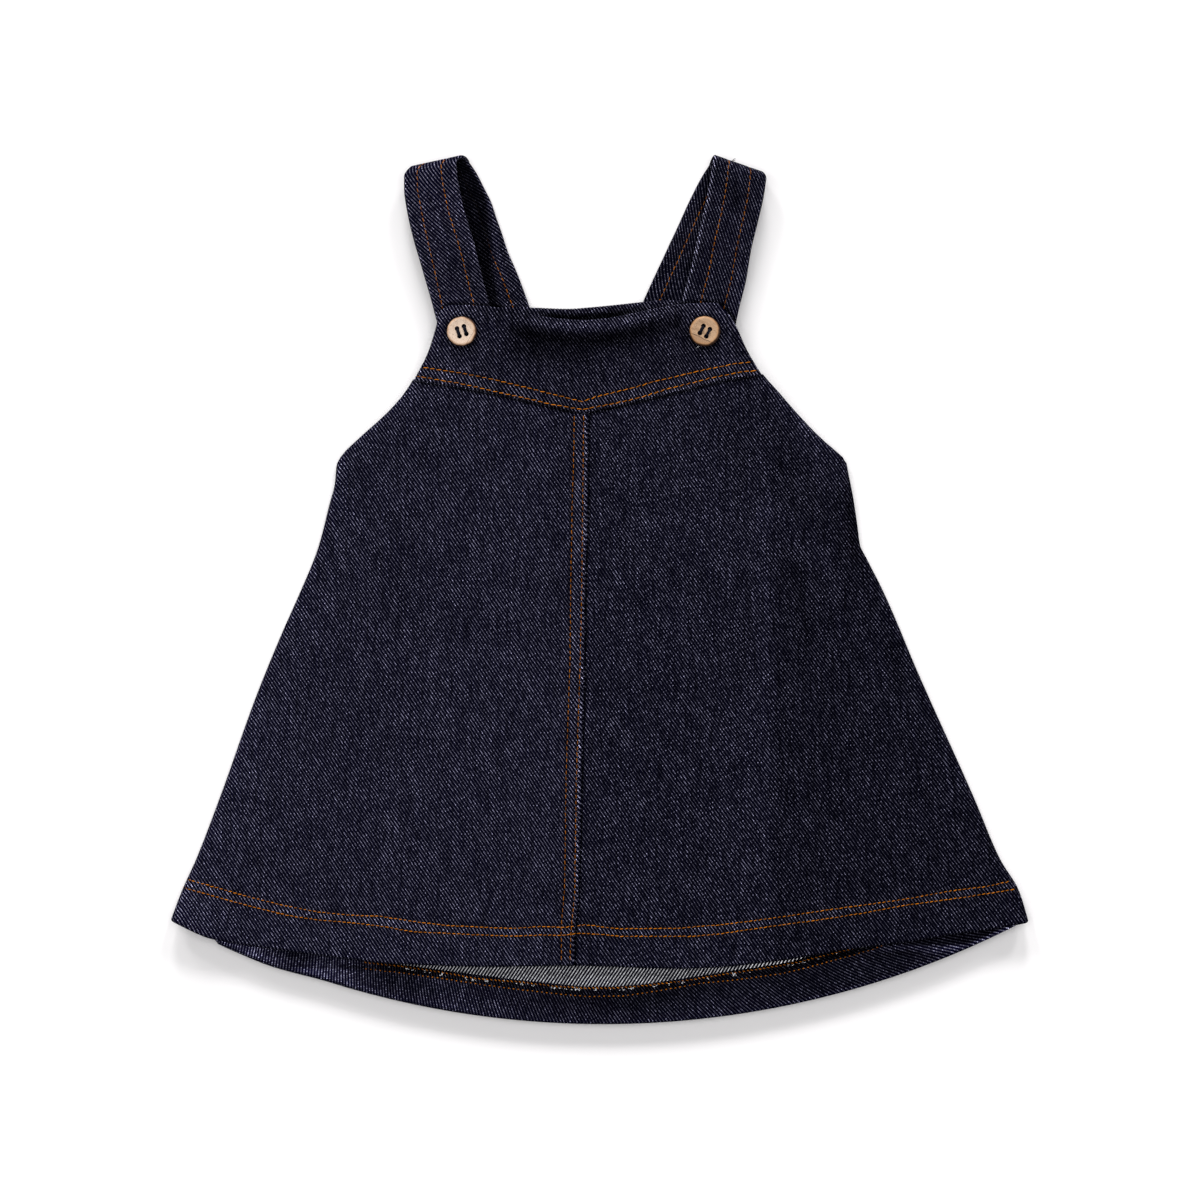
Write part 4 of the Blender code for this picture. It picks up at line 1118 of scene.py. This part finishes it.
def strap_rows(name):
    """A strap's stations along its whole length, and where its front ends and its back starts."""
    front, back_part = strap_stations(STRAP_FRONT[name]), strap_stations(STRAP_BACK[name])
    across = front[-1, 2:4] - front[-1, :2]
    across = across / np.linalg.norm(across)
    out = np.array([-across[1], across[0]])
    loop = []
    (left_reach, left_in), (right_reach, right_in) = STRAP_LOOPS[name]
    for angle in np.linspace(0, math.pi, 17)[1:-1]:
        share, bulge = (1 - math.cos(angle)) / 2, math.sin(angle)
        here = front[-1] * (1 - share) + back_part[0] * share
        here[:2] += out * left_reach * bulge + across * left_in * bulge**2
        here[2:4] += out * right_reach * bulge - across * right_in * bulge**2
        loop.append(here)
    return np.concatenate([front, np.array(loop), back_part]), len(front), len(front) + len(loop)


def strap_grid(rows, shares):
    """Mid-surface points of a strap at these shares of its width."""
    shares = np.asarray(shares)[None, :, None]
    return rows[:, None, [0, 1, 4]] * (1 - shares) + rows[:, None, [2, 3, 5]] * shares


def strap_insets(name, count, front_end, back_start):
    """How far in from the left edge the strap's rows of stitches run, for each station and face."""
    tables = STRAP_ROWS[name]
    front_share = np.clip(np.arange(count) / front_end, 0, 1)
    back_share = np.clip((count - 1 - np.arange(count)) / (count - 1 - back_start), 0, 1)
    upper = [smooth(list(row), front_share) for row in tables["front"]]
    lower = [smooth(list(row), back_share) for row in tables["back"]]
    return upper, lower


def bib_painted_shadow(x, y):
    """1 where the bib's edge casts a painted shadow on what lies just above it, and right of its
    right corner.
    """
    above = (1 - fade(y - smooth(BIB_TOP, x), 0.4, 2.4)) * (x > -80) * (x < 60)
    beside = (1 - fade(x - smooth(RIGHT_EDGE, y), 1.9, 3.4)) * (x > 58)
    beside = beside * (1 - fade(y, 142.4, 144.4))
    return np.maximum(above, beside)


def strap(name):
    """A tube of denim pressed flat: an outer loop of cloth, and the inside of the tube."""
    rows, front_end, back_start = strap_rows(name)
    width = np.linalg.norm(rows[:, 2:4] - rows[:, :2], axis=1).mean()
    near = np.array([0.0, 0.1, 0.3, 0.6, 1.0, 1.5])
    inset = np.concatenate([near, np.linspace(2.1, width - 2.1, 36), width - near[::-1]])
    shares = inset / width
    mid = strap_grid(rows, shares)
    edge = np.minimum(inset, width - inset)
    half = STRAP_CLOTH / 2 * np.sqrt(1 - (1 - np.clip(edge / 1.0, 0, 1)) ** 2)
    over, under = (half - sum(0.17 * bell(inset, row[:, None], 0.8) for row in face)
                   for face in strap_insets(name, len(rows), front_end, back_start))
    inner = np.clip(half - 0.88, 0.02, None)[:, None]
    up = grid_normals(mid)
    up = up * np.sign(up[0, len(shares) // 2, 2])
    inner_mid = strap_grid(rows, np.clip(shares, 0.9 / width, 1 - 0.9 / width))
    outer, inside = (
        np.concatenate([upper, lower[:, len(shares) - 2:0:-1]], axis=1) for upper, lower in (
            (mid + up * over[..., None], mid - up * under[..., None]),
            (inner_mid + up * inner, inner_mid - up * inner))
    )
    u = distances(np.vstack([outer[4], outer[4, :1]]))
    v = distances(mid[:, len(shares) // 2])
    total = outer.shape[0] * outer.shape[1]
    index = closed(np.arange(total).reshape(outer.shape[:2]))
    turned = [0, 3, 2, 1]
    quads = corners(index)[..., turned].reshape(-1, 4)
    uvs = corners(np.stack(np.broadcast_arrays(u, v[:, None]), -1))[:, :, turned].reshape(-1, 2)
    ends = []
    for row, step in ((0, -1), (-1, 1)):
        a, b = index[row, :-1], index[row, 1:]
        ends.append(np.stack([a, b, b + total, a + total], -1)[:, ::step])
    all_quads = np.concatenate([quads, quads[:, ::-1] + total, *ends])
    rest = np.zeros(((len(all_quads) - len(quads)) * 4, 2))
    verts = np.concatenate([outer.reshape(-1, 3), inside.reshape(-1, 3)])
    wear_and_painted_highlight, colour_and_painted_shading = strap_tones(name, outer, inset, width, len(shares), front_end, back_start)
    # The tube's inside is painted in shade.
    attributes = {"wear_and_painted_highlight": [wear_and_painted_highlight, 0 * wear_and_painted_highlight], "colour_and_painted_shading": [colour_and_painted_shading, 0 * colour_and_painted_shading + 0.3]}
    obj = make_object(f"cloth_{name}", verts, all_quads, np.concatenate([uvs, rest]), attributes,
                      (FACES[name],))
    finish_cloth(obj, name)
    return obj, u[-1], v[-1]


def gap_painted_light(x, y):
    """How much light reaches the back of the left strap beside its front, for its painted shadow.
    """
    front = np.array(STRAP_FRONT["strap_left"])
    past = x - np.interp(y, front[:, 3], front[:, 2])
    return fade(past, *curves(STRAP_GAP_PAINTED_SHADOW, y))


def strap_tones(name, outer, inset, width, columns, front_end, back_start):
    """Worn edges with a painted highlight on the strap's folds, and painted shadow where the cloth
    above it keeps the light off.
    """
    rows = np.arange(len(outer))[:, None]
    on_back = fade(rows, front_end, back_start)
    around = np.concatenate([inset, inset[-2:0:-1]])
    (front_left, front_right), (back_left, back_right) = STRAP_EDGE_WEAR_AND_HIGHLIGHT[name]
    left = front_left + (back_left - front_left) * on_back
    right = front_right + (back_right - front_right) * on_back
    wear_and_painted_highlight = left * bell(around, 0.8, 0.7) + right * bell(width - around, 0.55, 0.75)
    x, y = outer[..., 0], outer[..., 1]
    # Painted shadow beside the bib's edge, and painted light and shade along lines.
    colour_and_painted_shading = (1 - 0.85 * bib_painted_shadow(x, y)) * painted_shading_along_lines(x, y)
    if name == "strap_left":
        # The left strap's back is painted in shadow beside its front, less so along its right edge,
        # and loses its highlight in that shadow.
        deep = np.maximum(gap_painted_light(x, y), 0.6 * (1 - fade(width - around, 0.6, 2.0)))
        hidden = (np.arange(outer.shape[1]) >= columns) | (outer[..., 2] < 4.0)
        colour_and_painted_shading = np.where(hidden, colour_and_painted_shading * (0.14 + 0.86 * deep**1.3), colour_and_painted_shading)
        wear_and_painted_highlight = np.where(hidden, wear_and_painted_highlight * deep, wear_and_painted_highlight)
    else:
        # The right strap's back is painted in shade.
        colour_and_painted_shading = colour_and_painted_shading * (1 - 0.2 * on_back)
    return wear_and_painted_highlight, colour_and_painted_shading


# ---------------------------------------------------------------- stitches, thread and lint

def tubes(name, centres, radii, tones, material):
    """Closed tubes along lists of centre points, joined in one object; uv runs along and around."""
    verts, quads, uvs, tone = [], [], [], []
    angle = np.linspace(0, 2 * math.pi, THREAD_SIDES, endpoint=False)
    cosine, sine = np.cos(angle)[None, :, None], np.sin(angle)[None, :, None]
    start = 0
    for path, radius, value in zip(centres, radii, tones):
        path = np.asarray(path, float)
        count = len(path)
        tangent = np.gradient(path, axis=0)
        tangent /= np.linalg.norm(tangent, axis=1, keepdims=True)
        side = np.cross(tangent, (0.0, 0.0, 1.0))
        side /= np.maximum(np.linalg.norm(side, axis=1, keepdims=True), 1e-6)
        up = np.cross(side, tangent)
        thick = np.broadcast_to(radius, count)[:, None, None]
        ring = path[:, None] + thick * (side[:, None] * cosine + up[:, None] * sine)
        verts.append(ring.reshape(-1, 3))
        index = np.arange(count * THREAD_SIDES).reshape(count, THREAD_SIDES) + start
        quads.append(corners(closed(index)).reshape(-1, 4))
        turn = np.arange(THREAD_SIDES + 1) / THREAD_SIDES
        grid = np.stack(np.meshgrid(distances(path), turn, indexing="ij"), -1)
        uvs.append(corners(grid).reshape(-1, 2))
        quads += [index[0][THREAD_CAP], index[-1][THREAD_CAP][:, ::-1]]
        uvs.append(np.zeros((2 * THREAD_CAP.size, 2)))
        tone.append(np.full(count * THREAD_SIDES, value))
        start += count * THREAD_SIDES
    obj = make_object(name, np.concatenate(verts), np.concatenate(quads), np.concatenate(uvs),
                      {"tone": np.concatenate(tone)}, (material,))
    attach(obj, "root")
    return obj


def resample(points, pitch):
    """Places every `pitch` along a polyline, as (points, unit tangents)."""
    points = np.asarray(points, float)
    distance = distances(points)
    at = np.arange(pitch / 2, distance[-1], pitch)
    place, ahead, behind = (
        np.stack([np.interp(where, distance, column) for column in points.T], 1)
        for where in (at, at + 0.3, at - 0.3)
    )
    tangent = ahead - behind
    return place, tangent / np.linalg.norm(tangent, axis=1, keepdims=True)


STITCH_TONES = {       # how bright each strap row is drawn, its painted shade from the gap's gloom to the lit front
    ("strap_left", "front", 0): (0.15, 0.75), ("strap_left", "front", 1): (0.2, 0.8),
    ("strap_left", "back", 0): (0.05, 0.2), ("strap_left", "back", 1): (0.2, 0.7),
    ("strap_right", "front", 0): (0.25, 0.8), ("strap_right", "front", 1): (0, 0.5),
    ("strap_right", "back", 0): (0.2, 0.65), ("strap_right", "back", 1): (0.05, 0.2),
}


def stitch_row(name, path, pitch, length, radius=0.21, tilt=7.0, rise=0.12, tones=(0.3, 1.0),
               dots=False, dim=None):
    """A row of stitches on a path of surface points: each a short thread that dips at its ends."""
    place, tangent = resample(path, pitch)
    # dim gives the light reaching each stitch; a stitch it leaves in shadow is painted darker.
    lit = np.ones(len(place)) if dim is None else dim(place[:, 0], place[:, 1])
    centres, radii, values = [], [], []
    share = np.array([-1.0, -0.86, -0.6, -0.2, 0.2, 0.6, 0.86, 1.0])
    dip = (rise + STITCH_SINK) * np.abs(share) ** (2 if dots else 2.5)
    for point, along, light in zip(place, tangent, lit):
        turn = math.radians(tilt + RNG.normal(0, 4))
        c, s = math.cos(turn), math.sin(turn)
        along = np.array([along[0] * c - along[1] * s, along[0] * s + along[1] * c, along[2]])
        jitter = np.array([RNG.normal(0, 0.05), RNG.normal(0, 0.05), RNG.normal(0, 0.02)])
        half = length / 2 * RNG.uniform(0.92, 1.08)
        line = point + jitter + along * (share * half)[:, None]
        line[:, 2] += rise - dip
        centres.append(line)
        radii.append(radius * (1 - 0.45 * np.abs(share) ** 4))
        values.append(RNG.uniform(*tones) * light**2 - (1 - light))
    return tubes(name, centres, radii, values, RUST)


def spaced(points, step):
    """Places every `step` along a row's plan points, as x and y."""
    points = np.asarray(points, float)
    distance = distances(points)
    at = np.arange(0, distance[-1], step)
    return np.interp(at, distance, points[:, 0]), np.interp(at, distance, points[:, 1])


def on_front(row):
    """A row's plan points laid on the front's upper face."""
    x, y = spaced(row, 1.0)
    return np.stack([x, y, front_height(x, y) + DENIM / 2], axis=1)


def on_back_band(row, step=1.0):
    """A row's plan points laid on the upper face of the back's turned-up band."""
    x, y = spaced(row, step)
    return np.stack([x, y, band_height(x, y) + DENIM / 2], axis=1)


def wisps():
    """Loose thread ends: one at the right strap's top, pale ones below the right button."""
    dark = [[(66.0, 213.4, 8.6), (66.6, 214.4, 8.9), (67.2, 214.9, 8.8), (67.9, 215.0, 8.6)],
            [(66.4, 213.6, 8.6), (66.9, 214.1, 8.9), (67.7, 214.2, 8.7)]]
    pale = [[(50.0, 121.6, 9.3), (49.3, 121.1, 9.6), (48.8, 120.9, 9.5), (48.4, 120.5, 9.4)],
            [(49.4, 121.7, 9.3), (49.1, 121.2, 9.5), (49.2, 120.7, 9.4)]]
    tubes("wisps_dark", dark, [0.13] * 2, [0.5] * 2, INK)
    tubes("wisps_pale", pale, [0.07] * 2, [0.5] * 2, LINT)


def tufts(row, count):
    """Clumps of short frayed fibres just below the raw edge that a row of stitches holds."""
    points = on_back_band(row, 0.5) - (0, 0.8, -0.2)
    paths = []
    for _ in range(count):
        middle = points[RNG.integers(len(points))]
        tight, short = (0.7, 0.55) if middle[0] > 70 else (1, 1)
        spread = RNG.uniform(0.1, 0.55)
        for _ in range(RNG.integers(1, 6)):
            start = middle + RNG.normal(0, 1, 3) * (spread, 0.22, 0.05) * tight
            turn, bend = RNG.uniform(0, 2 * math.pi), RNG.uniform(-1.6, 1.6)
            size = RNG.uniform(0.3, 0.8) * short
            steps = np.linspace(0, 1, 4)
            angle = turn + bend * steps
            step = np.stack([np.cos(angle), np.sin(angle), 0.2 * np.sin(3 * steps)], 1) * size / 4
            paths.append(start + np.cumsum(step, axis=0))
    return paths


# ---------------------------------------------------------------- buttons

def surface_frame(x, y):
    """A point on the front's upper face and its unit normal."""
    def height(a, b):
        return float(front_height(np.array(a), np.array(b)))

    step = 3.0
    slope_x = (height(x + step, y) - height(x - step, y)) / (2 * step)
    slope_y = (height(x, y + step) - height(x, y - step)) / (2 * step)
    return Vector((x, y, height(x, y))), Vector((-slope_x, -slope_y, 1.0)).normalized()


def stack(rings, flip=False, base=0):
    """The faces of a closed stack of rings of points, numbered from `base`."""
    index = base + np.arange(rings[0] * rings[1]).reshape(rings)
    sides = corners(closed(index)).reshape(-1, 4)
    first, last = index[0], index[-1][::-1]
    if flip:
        sides, first, last = sides[:, [0, 3, 2, 1]], first[::-1], last[::-1]
    return [*sides.tolist(), first.tolist(), last.tolist()]


def plain_object(name, verts, faces):
    """An object from points in millimetres and faces of any size."""
    mesh = bpy.data.meshes.new(name)
    mesh.from_pydata([tuple(c * MM for c in vert) for vert in verts], [], faces)
    mesh.update()
    return link(bpy.data.objects.new(name, mesh))


def button(name):
    """A turned slice of wood with a shallow dish and four holes; returns where it's placed."""
    x, y, turn = BUTTONS[name]
    r, h = BUTTON_RADII[name], BUTTON_HEIGHT
    profile = [(3.6, h * 0.90), (5.0, h * 0.93), (5.8, h * 0.985), (6.3, h), (6.9, h - 0.10),
               (7.25, h - 0.35), (r, h - 0.8), (r, 0.8), (7.2, 0.3), (6.6, 0.0)]
    angles = np.linspace(0, 2 * math.pi, 72, endpoint=False)
    wobble = 1 + 0.006 * np.sin(2 * angles + 1.0) + 0.004 * np.sin(5 * angles)
    verts = [
        (pr * w * math.cos(t), pr * w * math.sin(t), pz)
        for pr, pz in profile for t, w in zip(angles, wobble)
    ]
    obj = plain_object(f"wood_{name}", verts, stack((len(profile), len(angles))))
    obj.data.shade_smooth()
    obj.data.materials.append(WOODS[name])
    verts, faces = [], []
    wide, long = BUTTON_HOLE_SPACING
    round_hole = [(BUTTON_HOLE_RADIUS * math.cos(t), BUTTON_HOLE_RADIUS * math.sin(t))
                  for t in np.linspace(0, 2 * math.pi, 20, endpoint=False)]
    for sx, sy in ((-1, -1), (-1, 1), (1, -1), (1, 1)):
        faces += stack((2, len(round_hole)), True, len(verts))
        verts += [(sx * wide / 2 + hx, sy * long / 2 + hy, z)
                  for z in (-1.0, h + 1.0) for hx, hy in round_hole]
    cutter = plain_object("hole", verts, faces)
    cut = obj.modifiers.new("holes", "BOOLEAN")
    cut.operation = "DIFFERENCE"
    cut.object = cutter
    cut.solver = "EXACT"
    depsgraph = bpy.context.evaluated_depsgraph_get()
    done = bpy.data.meshes.new_from_object(obj.evaluated_get(depsgraph))
    obj.modifiers.clear()
    obj.data = done
    done.shade_smooth()
    done.set_sharp_from_angle(angle=math.radians(40))
    bpy.data.objects.remove(cutter)
    point, normal = surface_frame(x, y)
    spin = Vector((0, 0, 1)).rotation_difference(normal).to_matrix().to_4x4()
    spin.translation = (point + normal * (DENIM / 2 + GAP + 0.1)) * MM
    turned = spin @ Matrix.Rotation(math.radians(turn), 4, "Z")
    obj.matrix_world = turned
    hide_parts(name)
    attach(obj, "root")
    return turned


def button_thread(name, turned):
    """Two bars of thread between the holes, each of several strands that go down into them."""
    paths = []
    wide, long = BUTTON_HOLE_SPACING
    for sx in (-1, 1):
        for strand in range(4):
            x = sx * wide / 2 + (strand - 1.5) * 0.36 + RNG.normal(0, 0.06)
            share = np.linspace(-1, 1, 11)
            y = share * (long / 2) + RNG.normal(0, 0.05)
            z = BUTTON_HEIGHT * 0.9 + 0.34 - 2.2 * np.clip(np.abs(share) - 0.72, 0, 1) ** 1.3 * 4
            bent = x + 0 * y - 0.3 * (x - sx * wide / 2) * np.abs(share) ** 3
            line = np.stack([bent, y, z + 0.1 * (strand % 2)], 1)
            paths.append([tuple(turned @ Vector(tuple(p * MM)) / MM) for p in line])
    tubes(f"thread_{name}", paths, [0.26] * len(paths), RNG.uniform(0.3, 1.0, len(paths)), INK)


# ---------------------------------------------------------------- build the dress

def split_row(row, boundary):
    """A hem row's points to the left and right of the centre seam."""
    row = np.array(row)
    x = np.arange(row[0, 0], row[-1, 0], 1.0)
    fine = np.stack([x, np.interp(x, row[:, 0], row[:, 1])], 1)
    return fine[x < boundary], fine[x >= boundary]


def strap_rows_of_stitches(name):
    """The two rows on the strap's front and the two on its back, on the faces that show."""
    rows, front_end, back_start = strap_rows(name)
    width = np.linalg.norm(rows[:, 2:4] - rows[:, :2], axis=1).mean()
    up = grid_normals(strap_grid(rows, np.array([0.0, 0.5, 1.0])))[:, 1]
    up = up * np.sign(up[0, 2])
    upper, lower = strap_insets(name, len(rows), front_end, back_start)
    made = []
    for part, side, insets, shown in (("front", 1, upper, slice(0, front_end + 7)),
                                      ("back", -1, lower, slice(back_start - 5, len(rows)))):
        # The stitches on the left strap's back are painted in the gap's shadow.
        dim = gap_painted_light if (name, part) == ("strap_left", "back") else None
        for k, inset in enumerate(insets):
            share = (inset / width)[:, None]
            line = rows[:, [0, 1, 4]] * (1 - share) + rows[:, [2, 3, 5]] * share
            line = (line + side * up * (STRAP_CLOTH / 2 - 0.17))[shown]
            made.append(stitch_row(f"stitch_{name}_{part}_{k}", line, 3.0, 2.6, radius=0.18,
                                   tilt=4.0, tones=STITCH_TONES[name, part, k], dim=dim))
    return made


left_panel, left_area = front_panel("left")
right_panel, right_area = front_panel("right")
yoke_cloth, yoke_area = yoke()
back_cloth, back_area = back()
facing_cloth, facing_area = facing()
strap_left, strap_left_round, strap_left_long = strap("strap_left")
strap_right, strap_right_round, strap_right_long = strap("strap_right")

yoke_stitches = [
    stitch_row(f"stitch_yoke_{k}", on_front(row), 3.3, 3.1) for k, row in enumerate(YOKE_ROWS)
]
left_stitches, right_stitches = [], []
for k, row in enumerate(FRONT_HEM_ROWS):
    for side, part, made in zip(EDGES, split_row(row, -12.0), (left_stitches, right_stitches)):
        made.append(stitch_row(f"stitch_hem_{side}_{k}", on_front(part), **HEM_STITCH))
for k, row in enumerate(CENTRE_ROWS):
    left_stitches.append(stitch_row(f"stitch_centre_{k}", on_front(row), 3.0, 2.7, radius=0.19,
                                    rise=0.04, tilt=3.0, tones=(0.15, 0.65)))
back_stitches = [
    stitch_row("stitch_back_hem_0", on_back_band(BACK_HEM_ROWS[0]), 2.05, 1.35, radius=0.19,
               tilt=-30.0, tones=(0.2, 0.75)),
    stitch_row("stitch_back_hem_1", on_back_band(BACK_HEM_ROWS[1]), 2.4, 0.8, radius=0.26,
               dots=True, tones=(0.2, 0.6)),
]
fibres = tufts(BACK_HEM_ROWS[0], 62)
back_stitches.append(tubes("lint_back_hem", fibres, [FIBRE_RADIUS] * len(fibres),
                           [1.0] * len(fibres), LINT))
strap_left_stitches = strap_rows_of_stitches("strap_left")
strap_right_stitches = strap_rows_of_stitches("strap_right")

placed = {name: button(name) for name in BUTTONS}
for name, turned in placed.items():
    button_thread(name, turned)
wisps()

sheets = (
    (left_panel, (209, 300), left_area, left_stitches, ["back_panel"]),
    (right_panel, (227, 300), right_area, right_stitches, ["back_panel"]),
    (yoke_cloth, (175, 56), yoke_area, yoke_stitches, ["back_panel"]),
    (back_cloth, (422, 384), back_area, back_stitches, []),
    (facing_cloth, (138, 27), facing_area, [], ["back_panel"]),
    (strap_left, (strap_left_round, strap_left_long), None, strap_left_stitches, []),
    (strap_right, (strap_right_round, strap_right_long), None, strap_right_stitches, []),
)
for piece, (wide, long), area, stitches, below in sheets:
    wide * MM
    long * MM

# ---------------------------------------------------------------- table, light and camera

FLOOR_REACH = 4000.0
floor = plain_object("floor", [(x * FLOOR_REACH, y * FLOOR_REACH, 0.0)
                               for x, y in ((-1, -1), (1, -1), (1, 1), (-1, 1))], [(0, 1, 2, 3)])
floor.data.materials.append(plain_material("table_white", (0.9, 0.885, 0.892), 0.9, grain=40.0))
floor.location.z = -0.0004

LIGHTS = (             # name, compass turn and height in degrees, softness in degrees, strength
    ("top_left", 118, 22, 12, 1.16), ("top", 92, 20, 14, 1.94), ("top_right", 66, 22, 12, 1.16),
    ("left", 178, 42, 40, 0.52), ("right", 5, 48, 40, 0.24), ("overhead", 90, 88, 60, 1.32),
)
for name, turn, height, soft, power in LIGHTS:
    lamp = bpy.data.lights.new(name, "SUN")
    lamp.angle = math.radians(soft)
    lamp.energy = power
    light = link(bpy.data.objects.new(name, lamp))
    turn, height = math.radians(turn), math.radians(height)
    away = Vector((math.cos(turn) * math.cos(height), math.sin(turn) * math.cos(height),
                   math.sin(height)))
    light.location = away * 2.0
    light.rotation_euler = (-away).to_track_quat("-Z", "Y").to_euler()

world = bpy.data.worlds.new("studio")
world.use_nodes = True
background = world.node_tree.nodes["Background"]
background.inputs["Color"].default_value = (1.0, 1.0, 1.0, 1.0)
background.inputs["Strength"].default_value = 0.145
bpy.context.scene.world = world
bpy.context.scene.view_settings.view_transform = "Standard"

CAMERA_HEIGHT = 2.4
FRAME_WIDE = 0.6       # metres across the frame at the cloth
camera_data = bpy.data.cameras.new("camera")
camera_data.sensor_width = 36.0
camera_data.lens = 36.0 * CAMERA_HEIGHT / FRAME_WIDE
camera_data.clip_end = 20.0
camera = bpy.data.objects.new("camera", camera_data)
camera.location = (0.00025, -0.00525, CAMERA_HEIGHT + 0.005)
bpy.context.scene.collection.objects.link(camera)
bpy.context.scene.camera = camera
